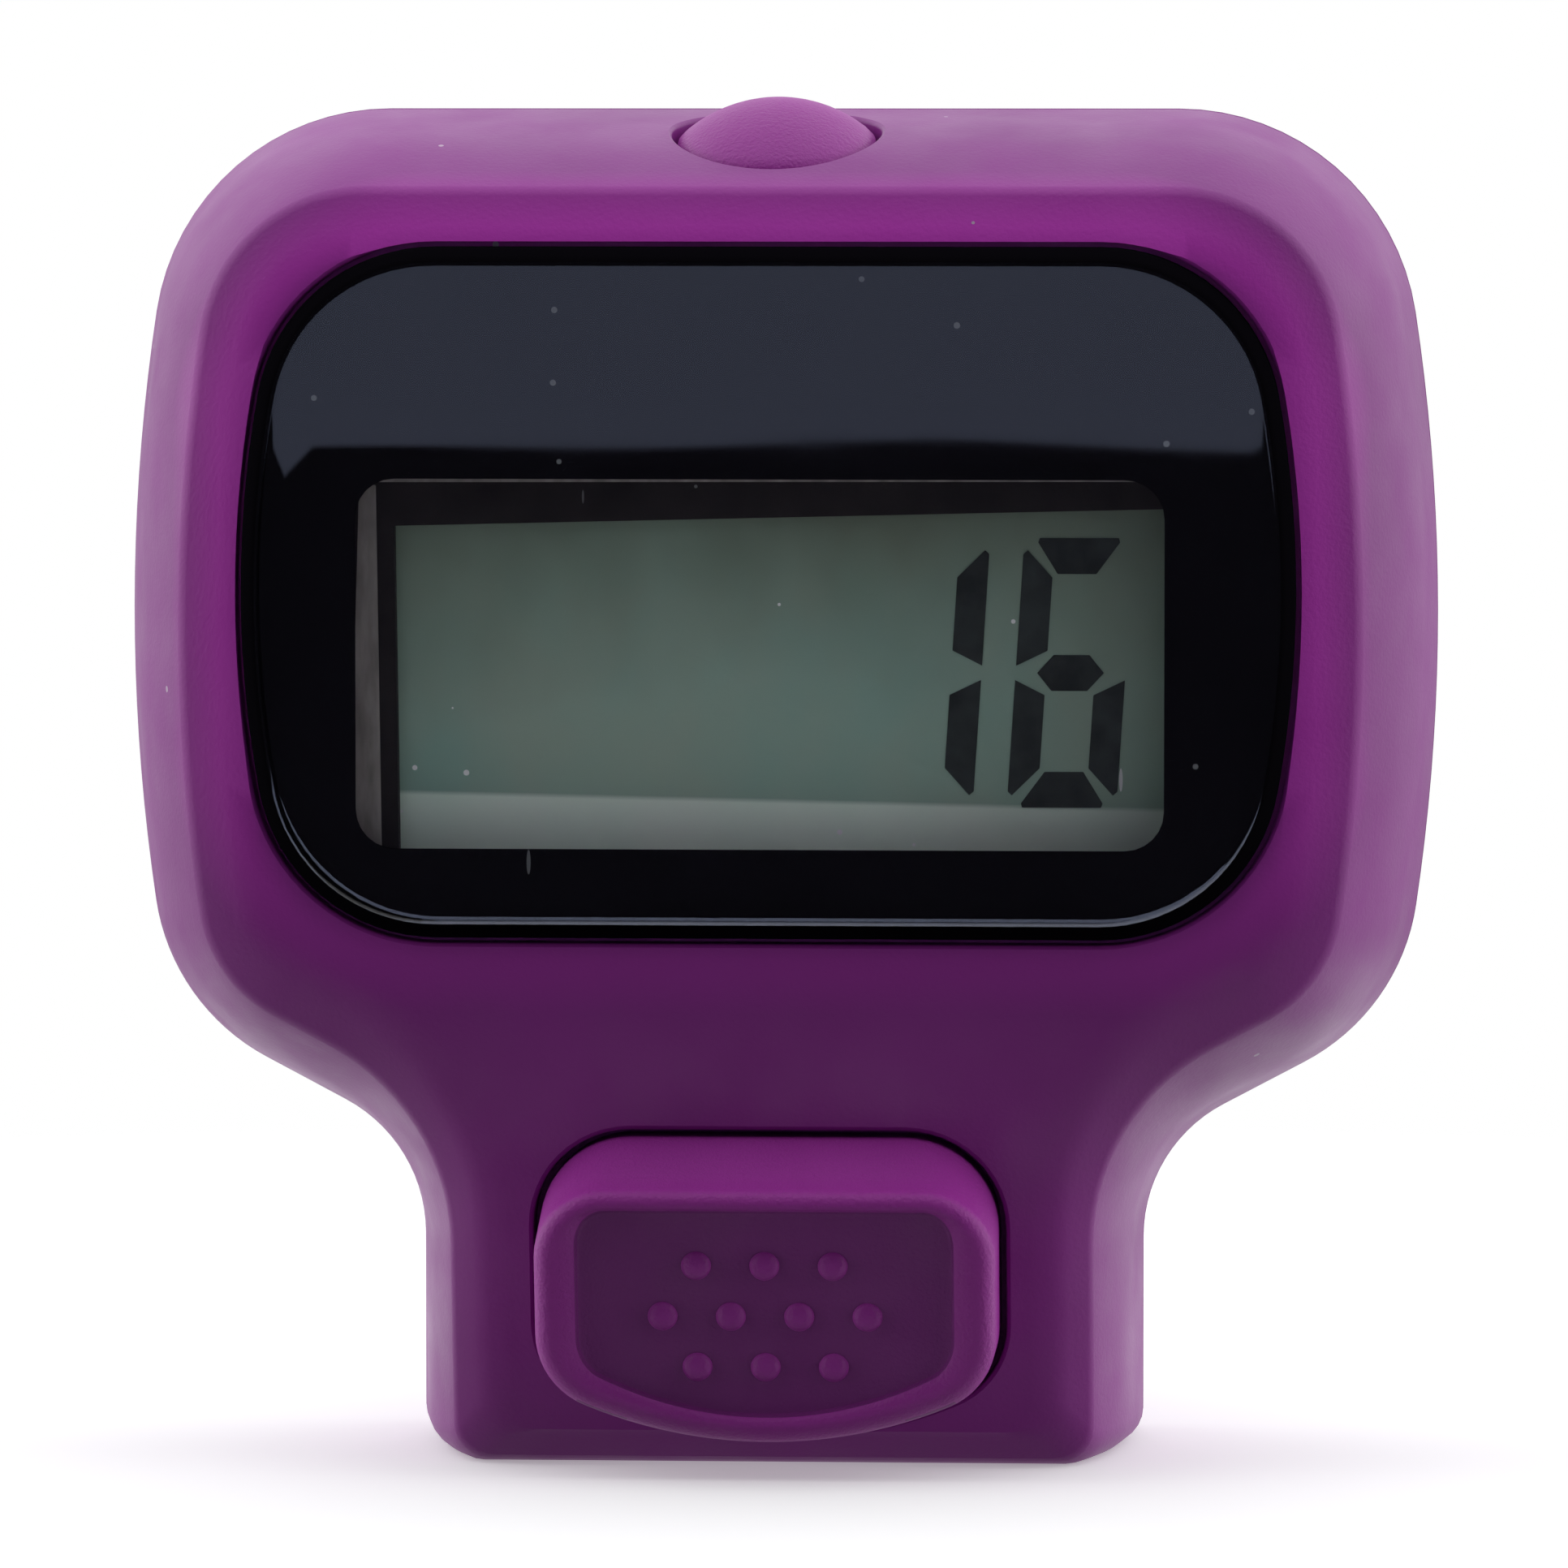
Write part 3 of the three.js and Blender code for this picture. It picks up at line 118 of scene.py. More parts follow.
# Count button
BUTTON_HALF_WIDTH = 6.42
BUTTON_BOTTOM = 1.07
BUTTON_RIM_TOP = 8.34
BUTTON_BASE_TOP = 9.54
BUTTON_ARC = 13
BUTTON_LOW_CORNER = 2.2
BUTTON_RIM_CORNER = 2
BUTTON_BASE_CORNER = 2.6
BUTTON_PROUD = 2.98 / math.cos(math.radians(13))
BUTTON_RIM = 1.15
BUTTON_RIM_ABOVE = 0.6
BUTTON_RIM_BELOW = 0.75
BUTTON_DISH = 0.5
BUTTON_ROUND = 0.5
BUTTON_ROUND_DEPTH = 0.6
BUTTON_RIM_FALL = 0.17
BUTTON_GAP = 0.2
BUTTON_MOUTH = 0.16
BUTTON_WALL = 1.2
FLANGE_WIDTH = 0.85
FLANGE_CORNER = 0.9
FLANGE_RISE = 1.1
FLANGE_GAP = 0.15
FLANGE_THICKNESS = 0.8
PIP_RADIUS = 0.42
PIP_PITCH = 1.9
PIP_ROW_PITCH = 1.45
POST_HEIGHT = 5.02
POST_RADIUS = 1.3
POST_END = 2.65

# Battery, its cover and the screws
BATTERY_HEIGHT = (battery_low.z + battery_high.z) / 2 / MM
BATTERY_BORE = 6
TUBE_RADIUS = 6.75
TUBE_FRONT = 8.55
COVER_RADIUS = 6.7
COVER_EAR = 2.6
COVER_SCREW_X = 8.9
COVER_BOSS = 2
COVER_GAP = 0.12
COVER_EDGE = 0.16
PLUG_START = 11.47
PLUG_RADIUS = 5.68
PLUG_CHAMFER = 0.13
DOOR_SCREW_HOLE = 0.68
DOOR_SCREW_HEAD_HOLE = 1.38
DOOR_SCREW_SEAT = REAR_FACE - 0.5
SCREW_TOP = HEIGHT - 5.6
SCREW_LOW = SHOULDER_HEIGHT - 1.5
CASE_SCREWS = ((13.6, SCREW_TOP), (-13.6, SCREW_TOP), (14, SCREW_LOW), (-14, SCREW_LOW))
CASE_SCREW_SEAT = FRONT_DEPTH + 1
SCREW_HOLE = 0.93
SCREW_HOLE_START = 4.4
SCREW_HEAD_HOLE = 1.48
FRONT_BOSS = 1.6
FRONT_BOSS_START = 2.2
REAR_BOSS = 1.9
HEAD_CROWN = 0.28
CROSS_REACH = 0.6
CROSS_HALF_WIDTH = 0.15

# Strap and finger saddle
STRAP_WIDTH = 9
STRAP_THICKNESS = 1.2
STRAP_LOWER = 3.6
STRAP_UPPER = BATTERY_HEIGHT - COVER_RADIUS - 1.6
STRAP_TURN = REAR_FACE + 6.6
STRAP_RADIUS = (STRAP_UPPER - STRAP_LOWER) / 2
STRAP_MIDDLE = (STRAP_UPPER + STRAP_LOWER) / 2
STRAP_OUTER = STRAP_RADIUS + STRAP_THICKNESS + 0.3
STRAP_TIP = math.radians(32)
STRAP_END_CORNER = 3.2
STRAP_GAP = 0.12
STRAP_HOLE = 1.05
STRAP_HOLE_TURN = 2.3 / STRAP_OUTER
STRAP_BAR_HALF = 0.85
PEG_ANGLE = math.radians(5)
SADDLE_DEPTH = 2
SADDLE_LIP = 1.2
SADDLE_INNER_LIP = 0.6
SADDLE_REACH = STRAP_RADIUS - STRAP_BAR_HALF - 1.06
SADDLE_RADIUS = (SADDLE_REACH ** 2 + SADDLE_DEPTH ** 2) / (2 * SADDLE_DEPTH) - REAR_WALL

# Depths behind the face
MASK_BACK = 1.05
SEAT_BACK = 2.15
BEZEL_FRONT = 2.25
CELL_FRONT = 2.85
BOARD_FRONT = 6.8
REAR_INSIDE = REAR_FACE - REAR_WALL
COVER_SEAT = REAR_FACE - 0.9

# Display window and digits
WINDOW_LEFT = -11.5
WINDOW_RIGHT = 11
WINDOW_BOTTOM = LENS_BOTTOM + 2.45
WINDOW_TOP = LENS_TOP - 6.45
WINDOW_CORNER = 1.1
HOLDER_ROOM = 0.9
HOLDER_ROOM_CORNER = 1.2
BEZEL_HALF_WIDTH = 12.1
BEZEL_BOTTOM = WINDOW_BOTTOM - 2.15
BEZEL_TOP = WINDOW_TOP + 2.05
BEZEL_WALL = 0.5
FILM_HALF_WIDTH = 11.3
FILM_BOTTOM = WINDOW_BOTTOM - 1.35
FILM_TOP = WINDOW_TOP - 0.45
FILM_THICKNESS = 0.2
GLASS_BOTTOM = WINDOW_BOTTOM - 0.65
GLASS_RIGHT = 11.2
GLASS_LEFT = -10.52
GLASS_LEAN = 0.12
GLASS_TOP_LEFT = WINDOW_TOP - 1.37
GLASS_TOP_RIGHT = WINDOW_TOP - 0.85
DIGIT_MIDDLE = WINDOW_BOTTOM + 4.85
DIGIT_PITCH = 4.01
LAST_DIGIT = 8.33
DIGIT_HALF_WIDTH = 1.105
DIGIT_HALF_HEIGHT = 3.26
BAR_WIDTH = 0.85
BAR_HEIGHT = 1
DIGIT_SLANT = math.tan(math.radians(3.7))

# Reset button
RESET_RADIUS = 2.8
RESET_GAP = 0.15
RESET_MOUTH = 0.14
RESET_DEPTH = 5
RESET_RISE = 1.1
RESET_RIM_SUNK = 0.05


# Camera, at the photograph's angle
CAMERA_DISTANCE = 300
CAMERA_AZIMUTH = math.radians(3.2)
CAMERA_ELEVATION = math.radians(4)
CAMERA_TARGET_HEIGHT = 18.86
CAMERA_LENS = 241.1
CAMERA_SENSOR = 36


def make_camera():
    distance = CAMERA_DISTANCE * MM
    target = Vector((0, FACE_Y + FRONT_DEPTH * MM, CAMERA_TARGET_HEIGHT * MM))
    across = distance * math.cos(CAMERA_ELEVATION)
    offset = Vector((
        across * math.sin(CAMERA_AZIMUTH),
        -across * math.cos(CAMERA_AZIMUTH),
        distance * math.sin(CAMERA_ELEVATION),
    ))
    camera = bpy.data.objects.new("camera", bpy.data.cameras.new("camera"))
    bpy.context.scene.collection.objects.link(camera)
    camera.location = target + offset
    camera.rotation_euler = (-offset).to_track_quat("-Z", "Y").to_euler()
    camera.data.lens = CAMERA_LENS
    camera.data.sensor_width = CAMERA_SENSOR
    camera.data.clip_start = 0.01
    camera.data.clip_end = 20
    bpy.context.scene.camera = camera


make_camera()


# Modelling

def at(x, y, z):
    """A place of the counter, from its own millimetres to the frame's metres."""
    return Vector((x * MM, FACE_Y + y * MM, z * MM))


def quiet():
    """Leaves edit mode and selects nothing."""
    if bpy.context.object and bpy.context.object.mode != "OBJECT":
        bpy.ops.object.mode_set(mode="OBJECT")
    bpy.ops.object.select_all(action="DESELECT")


def alone(piece):
    """Makes a piece the only one that is selected and active."""
    quiet()
    piece.select_set(True)
    bpy.context.view_layer.objects.active = piece


def named(name):
    """Names the piece that was just added, and its mesh."""
    piece = bpy.context.object
    piece.name = name
    piece.data.name = name
    return piece


def number_points(piece, numbers):
    """Stores one pair of numbers on each point, which its copies keep when they are extruded."""
    for index, layer in enumerate(("across", "along")):
        stored = piece.data.attributes.new(layer, "FLOAT", "POINT")
        stored.data.foreach_set("value", [pair[index] for pair in numbers])


def set_selected(piece, ring):
    """Puts each selected point where the ring says for its two numbers."""
    mesh = bmesh.from_edit_mesh(piece.data)
    across = mesh.verts.layers.float["across"]
    along = mesh.verts.layers.float["along"]
    for point in mesh.verts:
        if point.select:
            point.co = ring(point[across], point[along])
    bmesh.update_edit_mesh(piece.data)


def extrude_through(piece, rings):
    """Extrudes a flat piece through its rings, first to last, and turns its faces outwards."""
    alone(piece)
    bpy.ops.object.mode_set(mode="EDIT")
    bpy.ops.mesh.select_all(action="SELECT")
    set_selected(piece, rings[0])
    for ring in rings[1:]:
        bpy.ops.mesh.extrude_region_move()
        set_selected(piece, ring)
    bpy.ops.mesh.select_all(action="SELECT")
    bpy.ops.mesh.remove_doubles(threshold=MERGE)
    bpy.ops.mesh.normals_make_consistent(inside=False)
    bpy.ops.object.mode_set(mode="OBJECT")
    for layer in ("across", "along"):
        piece.data.attributes.remove(piece.data.attributes[layer])
    return piece


def lofted(name, rings):
    """A closed solid through rings of points in the counter's millimetres, given as lists of (x, y, z)."""
    quiet()
    bpy.ops.mesh.primitive_circle_add(vertices=len(rings[0]), fill_type="NGON", radius=MM)
    piece = named(name)
    number_points(piece, [(index, 0) for index in range(len(rings[0]))])

    def ring_of(points):
        return lambda across, along: at(*points[int(round(across))])

    return extrude_through(piece, [ring_of(points) for points in rings])


def grid_lofted(name, columns, rings):
    """A closed solid with grids as caps; a ring is the right half of an outline and its depth at a height."""
    rows = len(rings[0][0])
    quiet()
    bpy.ops.mesh.primitive_grid_add(x_subdivisions=columns, y_subdivisions=rows - 1, size=2)
    piece = named(name)
    assert len(piece.data.vertices) == (columns + 1) * rows
    numbers = [(point.co.x, round((point.co.y + 1) / 2 * (rows - 1))) for point in piece.data.vertices]
    number_points(piece, numbers)

    def ring_of(points, depth):
        def place(across, along):
            x, z = points[int(round(along))]
            return at(x * across, depth(z), z)
        return place

    return extrude_through(piece, [ring_of(points, depth) for points, depth in rings])


def apply_modifier(piece, kind, **settings):
    alone(piece)
    modifier = piece.modifiers.new(kind.lower(), kind)
    for key, value in settings.items():
        setattr(modifier, key, value)
    bpy.ops.object.modifier_apply(modifier=modifier.name)


def combine(piece, tool, operation):
    apply_modifier(piece, "BOOLEAN", object=tool, operation=operation, solver="EXACT")
    bpy.data.objects.remove(tool)


def carve(piece, *tools):
    for tool in tools:
        combine(piece, tool, "DIFFERENCE")


def unite(piece, *tools):
    for tool in tools:
        combine(piece, tool, "UNION")


def smooth(piece, degrees=32):
    alone(piece)
    bpy.ops.object.shade_smooth_by_angle(angle=math.radians(degrees))


def dress(piece, material, body, slot, *nodes):
    """Gives a finished piece its material, the body that it rides on and the nodes that it stands for."""
    piece.data.materials.clear()
    piece.data.materials.append(material)
    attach(piece, body)
    if nodes:
        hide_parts(*nodes)


def arc(x, z, radius, start, end, steps):
    """Points of a circle's arc about a centre, from one angle to another."""
    turns = [start + (end - start) * i / steps for i in range(steps + 1)]
    return [(x + radius * math.cos(a), z + radius * math.sin(a)) for a in turns]


def both_sides(half, depth):
    """A whole ring from the right half of an outline and its depth at a height."""
    right = [(x, depth(z), z) for x, z in half]
    left = [(-x, depth(z), z) for x, z in reversed(half)]
    return right + left


def level(y):
    """The same depth at every height."""
    return lambda z: y


QUARTER = math.pi / 2


# Outlines

def corner_x(width, side, middle, z, radius):
    """Where a round corner touches a bulging side from inside."""
    return width - side + math.sqrt((side - radius) ** 2 - (z - middle) ** 2)


def case_outline(inset, neck_inset, foot_inset):
    """The right half of the case's outline, from the foot up to the top, moved in by its insets."""
    middle_x = HALF_WIDTH - SIDE_RADIUS
    top_z = HEIGHT - TOP_CORNER
    top_x = corner_x(HALF_WIDTH, SIDE_RADIUS, SIDE_MIDDLE, top_z, TOP_CORNER)
    shoulder_x = corner_x(HALF_WIDTH, SIDE_RADIUS, SIDE_MIDDLE, SHOULDER_HEIGHT, SHOULDER_RADIUS)
    foot = FOOT_CORNER
    neck_x = NECK_HALF_WIDTH - neck_inset
    hollow = NECK_CURVE + inset
    hollow_x = neck_x + hollow
    reach = SHOULDER_RADIUS - inset + hollow - (hollow_x - shoulder_x) * math.sin(SHOULDER_SLOPE)
    hollow_z = SHOULDER_HEIGHT - reach / math.cos(SHOULDER_SLOPE)
    low = math.atan2(SHOULDER_HEIGHT - SIDE_MIDDLE, shoulder_x - middle_x)
    high = math.atan2(top_z - SIDE_MIDDLE, top_x - middle_x)
    return (
        arc(neck_x - foot, foot_inset + foot, foot, -QUARTER, 0, 6)
        + arc(hollow_x, hollow_z, hollow, math.pi, QUARTER + SHOULDER_SLOPE, 14)
        + arc(shoulder_x, SHOULDER_HEIGHT, SHOULDER_RADIUS - inset, SHOULDER_SLOPE - QUARTER, low, 16)
        + arc(middle_x, SIDE_MIDDLE, SIDE_RADIUS - inset, low, high, 18)[1:-1]
        + arc(top_x, top_z, TOP_CORNER - inset, high, QUARTER, 16)
    )


def lens_outline(margin):
    """The right half of the lens's outline, from its bottom to its top, widened by a margin."""
    middle = (LENS_TOP + LENS_BOTTOM) / 2
    top_z = LENS_TOP - LENS_CORNER
    bottom_z = LENS_BOTTOM + LENS_CORNER
    x = corner_x(LENS_HALF_WIDTH, LENS_SIDE_RADIUS, middle, top_z, LENS_CORNER)
    centre = LENS_HALF_WIDTH - LENS_SIDE_RADIUS
    turn = math.atan2(top_z - middle, x - centre)
    return (
        arc(x, bottom_z, LENS_CORNER + margin, -QUARTER, -turn, 16)
        + arc(centre, middle, LENS_SIDE_RADIUS + margin, -turn, turn, 14)[1:-1]
        + arc(x, top_z, LENS_CORNER + margin, turn, QUARTER, 16)
    )


def button_outline(top, corner, inset):
    """The right half of the count button's outline: a curved bottom, round corners and a flat top."""
    low = max(BUTTON_LOW_CORNER - inset, SMALLEST_RADIUS)
    high = max(corner - inset, SMALLEST_RADIUS)
    arc_z = BUTTON_BOTTOM + BUTTON_ARC
    low_x = BUTTON_HALF_WIDTH - inset - low
    low_z = arc_z - math.sqrt((BUTTON_ARC - inset - low) ** 2 - low_x ** 2)
    turn = math.atan2(low_z - arc_z, low_x)
    half = (turn + QUARTER) / 24
    return (
        arc(0, arc_z, BUTTON_ARC - inset, half - QUARTER, turn, 12)[:-1]
        + arc(low_x, low_z, low, turn, 0, 10)
        + arc(BUTTON_HALF_WIDTH - inset - high, top - inset - high, high, 0, QUARTER, 12)
    )


def neck_plane(z):
    """How deep the leaning face of the neck lies at a height, without the bend into the flat face."""
    return NECK_SLOPE * (TILT_BLEND / 2 + TILT_END - z)


def bend(z):
    """How far the lower face lies back at a height: straight on the neck, then bending into the flat face."""
    if z < TILT_END:
        return neck_plane(z)
    left = max(TILT_END + TILT_BLEND - z, 0)
    return NECK_SLOPE * left * left / (2 * TILT_BLEND)


def button_front(z):
    """How deep the count button's rim lies at a height."""
    return neck_plane(z) - BUTTON_PROUD


def turned(name, place, axis, profile, steps):
    """A round solid about an axis through a place; its profile is pairs of distance along it and radius."""
    along = Vector(axis).normalized()
    side = along.orthogonal().normalized()
    other = along.cross(side)
    turns = [2 * math.pi * i / steps for i in range(steps)]
    rings = []
    for distance, radius in profile:
        centre = Vector(place) + along * distance
        rings.append([centre + (side * math.cos(a) + other * math.sin(a)) * radius for a in turns])
    return lofted(name, rings)


def edge_steps(radius, steps=4, share=1.0):
    """Steps round a convex edge: how far each has moved in, and how far it still lies below the top."""
    turns = [QUARTER * share * i / steps for i in range(steps + 1)]
    return [(radius * (1 - math.cos(a)), radius * (1 - math.sin(a))) for a in turns]


def mouth(radius):
    """The widening end of a cutter: extra width and depth below the surface whose edge it rounds."""
    return edge_steps(radius, 5, 0.8) + [(radius + MOUTH_BEYOND, -MOUTH_BEYOND)]


def corner_ring(low, high, radius, place):
    """Points round a rectangle with round corners; place turns each pair into a point."""
    points = []
    for corner, (right, top) in enumerate(((1, 1), (0, 1), (0, 0), (1, 0))):
        x = high[0] - radius if right else low[0] + radius
        z = high[1] - radius if top else low[1] + radius
        points += [place(px, pz) for px, pz in arc(x, z, radius, corner * QUARTER, (corner + 1) * QUARTER, 6)]
    return points


def block(name, low, high, corner, edge):
    """A block between two places, with round corners seen from the front and soft edges front and back."""
    def ring(inset, y):
        inner = max(corner - inset, 0.02)
        low_corner = (low[0] + inset, low[2] + inset)
        high_corner = (high[0] - inset, high[2] - inset)
        return corner_ring(low_corner, high_corner, inner, lambda x, z: (x, y, z))

    steps = edge_steps(edge)
    rings = [ring(inset, low[1] + below) for inset, below in reversed(steps)]
    rings += [ring(inset, high[1] - below) for inset, below in steps]
    return lofted(name, rings)


def bar(name, x, z, radius, front, back, steps=32):
    """A round bar along Y."""
    return turned(name, (x, 0, z), (0, 1, 0), [(front, radius), (back, radius)], steps)


def hole_tool(x, z, radius, bottom, top, rounding):
    """A round cutter along Y whose mouth rounds the edge that it cuts in the surface."""
    profile = [(bottom, radius)]
    profile += [(top - below, radius + wider) for wider, below in mouth(rounding)]
    return turned("tool", (x, 0, z), (0, 1, 0), profile, 48)


# Case

def draft_inset(depth):
    """How far the draft alone has brought the front walls in at a depth."""
    return (FRONT_DEPTH - depth) * math.tan(FRONT_DRAFT)


def front_inset(depth):
    """How far the front walls have swept in at a depth."""
    share = max(FRONT_SWEEP_DEPTH - depth, 0) / FRONT_SWEEP_DEPTH
    return draft_inset(depth) + FRONT_SWEEP * share ** 2


def foot_inset(depth):
    """How far the foot's front edge is rounded away at a depth."""
    return FOOT_EDGE * (max(FOOT_EDGE_DEPTH - depth, 0) / FOOT_EDGE_DEPTH) ** 2


def front_rings():
    """Side walls that sweep in, a round edge, and a rim that falls a little from the display to that edge."""
    def ring(inset, depth, foot):
        outline = case_outline(inset, inset * NECK_SHARE, foot)
        return outline, lambda z: depth + bend(z) * (1 - depth / FRONT_DEPTH)

    first = math.atan(math.tan(FRONT_DRAFT) + 2 * FRONT_SWEEP / FRONT_SWEEP_DEPTH)
    last = QUARTER - FRONT_CROWN
    # The fall of the rim and the start of the edge depend on each other, and a few rounds settle both.
    start_depth = FRONT_EDGE
    for _ in range(4):
        crown_start = front_inset(start_depth) + FRONT_EDGE * (math.cos(first) - math.cos(last))
        crown_depth = (CROWN_END - crown_start) * math.tan(FRONT_CROWN)
        start_depth = crown_depth + FRONT_EDGE * (math.sin(last) - math.sin(first))
    rings = [
        ring(SEAM_CHAMFER, FRONT_DEPTH, 0),
        ring(draft_inset(FRONT_DEPTH - SEAM_CHAMFER), FRONT_DEPTH - SEAM_CHAMFER, 0),
    ]
    for i in range(9):
        depth = FRONT_SWEEP_DEPTH + (start_depth - FRONT_SWEEP_DEPTH) * i / 9
        rings.append(ring(front_inset(depth), depth, foot_inset(depth)))
    for i in range(9):
        turn = first + (last - first) * i / 8
        inset = front_inset(start_depth) + FRONT_EDGE * (math.cos(first) - math.cos(turn))
        depth = start_depth - FRONT_EDGE * (math.sin(turn) - math.sin(first))
        rings.append(ring(inset, depth, foot_inset(depth)))
    middle_inset = (crown_start + CROWN_END) / 2
    rings.append(ring(middle_inset, crown_depth * CROWN_MIDDLE, foot_inset(0) + FOOT_CROWN_MIDDLE))
    rings.append(ring(CROWN_END, 0, foot_inset(0) + FOOT_CROWN_END))
    return rings


def face_tool(outline, bottom, surface, rounding):
    """A cutter from its bottom out through the face, along an outline that takes a margin."""
    rings = [both_sides(outline(0), bottom)]
    for wider, below in mouth(rounding):
        rings.append(both_sides(outline(wider), lambda z, below=below: surface(z) + below))
    return lofted("tool", rings)


def reset_hole_tool():
    """An upright cutter through the top wall, with its mouth on the drafted surface."""
    def ring(radius, below):
        points = []
        for px, py in arc(0, RESET_DEPTH, radius, 0, 2 * math.pi, 72)[:-1]:
            points.append((px, py, HEIGHT - front_inset(py) - below))
        return points

    rings = [ring(RESET_RADIUS + RESET_GAP, 3)]
    rings += [ring(RESET_RADIUS + RESET_GAP + wider, below) for wider, below in mouth(RESET_MOUTH)]
    return lofted("tool", rings)


def make_front_case():
    shell = grid_lofted("front_shell", 26, front_rings())

    def hollow_ring(inset, depth):
        share = (FRONT_DEPTH - depth) / (FRONT_DEPTH - WALL)
        outline = case_outline(inset + WALL, inset * NECK_SHARE + WALL, WALL)
        return outline, lambda z: depth + bend(z) * share

    hollow = grid_lofted("tool", 4, [
        (case_outline(WALL, WALL, WALL), level(FRONT_DEPTH + WALL)),
        hollow_ring(0, FRONT_DEPTH),
        hollow_ring(draft_inset(HOLLOW_RELIEF), HOLLOW_RELIEF),
        hollow_ring(front_inset(WALL), WALL),
    ])
    carve(shell, hollow)
    seat = lens_outline(LENS_SEAT_MARGIN)
    unite(shell, lofted("tool", [both_sides(seat, level(y)) for y in (SEAT_BACK, LENS_BACK)]))
    for x, z in CASE_SCREWS:
        unite(shell, bar("tool", x, z, FRONT_BOSS, FRONT_BOSS_START, FRONT_DEPTH - SEAM_GAP))
    lens_pocket = face_tool(
        lambda more: lens_outline(LENS_GAP + more), level(MASK_BACK), level(0), LENS_MOUTH,
    )
    holder_room = block(
        "tool",
        (WINDOW_LEFT - HOLDER_ROOM, -1, WINDOW_BOTTOM - HOLDER_ROOM),
        (WINDOW_RIGHT + HOLDER_ROOM, BOARD_FRONT - 1, WINDOW_TOP + HOLDER_ROOM),
        HOLDER_ROOM_CORNER, 0.02,
    )
    button_hole = face_tool(
        lambda more: button_outline(BUTTON_BASE_TOP, BUTTON_BASE_CORNER, -BUTTON_GAP - more),
        level(FRONT_DEPTH), neck_plane, BUTTON_MOUTH,
    )
    carve(shell, lens_pocket, holder_room, button_hole, reset_hole_tool())
    for x, z in CASE_SCREWS:
        carve(shell, bar("tool", x, z, SCREW_HOLE, SCREW_HOLE_START, FRONT_DEPTH + 1))
    smooth(shell)
    return shell


def rear_rings():
    depth = REAR_FACE - FRONT_DEPTH
    start_inset = (depth - REAR_EDGE) * math.tan(REAR_DRAFT)
    centre = start_inset + REAR_EDGE * math.cos(REAR_DRAFT)

    def ring(inset, y, foot=0.0):
        return both_sides(case_outline(inset, inset * NECK_SHARE, foot), level(y))

    rings = [ring(SEAM_CHAMFER, FRONT_DEPTH), ring(0, FRONT_DEPTH + SEAM_CHAMFER)]
    for i in range(11):
        turn = REAR_DRAFT + (QUARTER - REAR_DRAFT) * i / 10
        inset = centre - REAR_EDGE * math.cos(turn)
        foot = FOOT_EDGE * (inset - start_inset) / (centre - start_inset)
        rings.append(ring(inset, REAR_FACE - REAR_EDGE * (1 - math.sin(turn)), max(foot, 0)))
    return rings


def saddle_tool(radius, rounding):
    """A bar across the back whose section is the finger's arc, with rounded lips where it meets the back."""
    centre = REAR_FACE - SADDLE_DEPTH + SADDLE_RADIUS
    reach = radius + rounding
    lip_y = REAR_FACE - rounding
    lip_z = math.sqrt(reach ** 2 - (centre - lip_y) ** 2)
    meet = math.atan2(lip_z, lip_y - centre)
    upper = arc(centre, STRAP_MIDDLE, radius, meet, math.pi, 20)
    lip = arc(lip_y, STRAP_MIDDLE + lip_z, rounding, 0.12, meet - math.pi, 8)
    half = [(REAR_FACE + 3, STRAP_MIDDLE + lip_z + 3)] + lip + upper[1:]
    section = half + [(y, 2 * STRAP_MIDDLE - z) for y, z in reversed(half[:-1])]
    return lofted("tool", [[(x, y, z) for y, z in section] for x in (-HALF_WIDTH - 2, HALF_WIDTH + 2)])


def pill_outline(margin):
    """Round the battery cover: a wide circle, and a small one round its screw, joined by straight lines."""
    turn = math.acos((COVER_RADIUS - COVER_EAR) / COVER_SCREW_X)
    wide = arc(0, BATTERY_HEIGHT, COVER_RADIUS + margin, turn, 2 * math.pi - turn, 56)
    return wide + arc(COVER_SCREW_X, BATTERY_HEIGHT, COVER_EAR + margin, -turn, turn, 24)


def pill_ring(margin, y):
    return [(x, y, z) for x, z in pill_outline(margin)]


def slot_tool(z):
    half_x = STRAP_WIDTH / 2 + STRAP_GAP
    half_z = STRAP_THICKNESS / 2 + STRAP_GAP

    def ring(wider, y):
        return corner_ring(
            (-half_x - wider, z - half_z - wider), (half_x + wider, z + half_z + wider), 0.3 + wider,
            lambda px, pz: (px, y, pz),
        )

    rings = [ring(0, REAR_INSIDE - WALL / 2)]
    rings += [ring(wider, REAR_FACE - below) for wider, below in mouth(REAR_MOUTH)]
    return lofted("tool", rings)


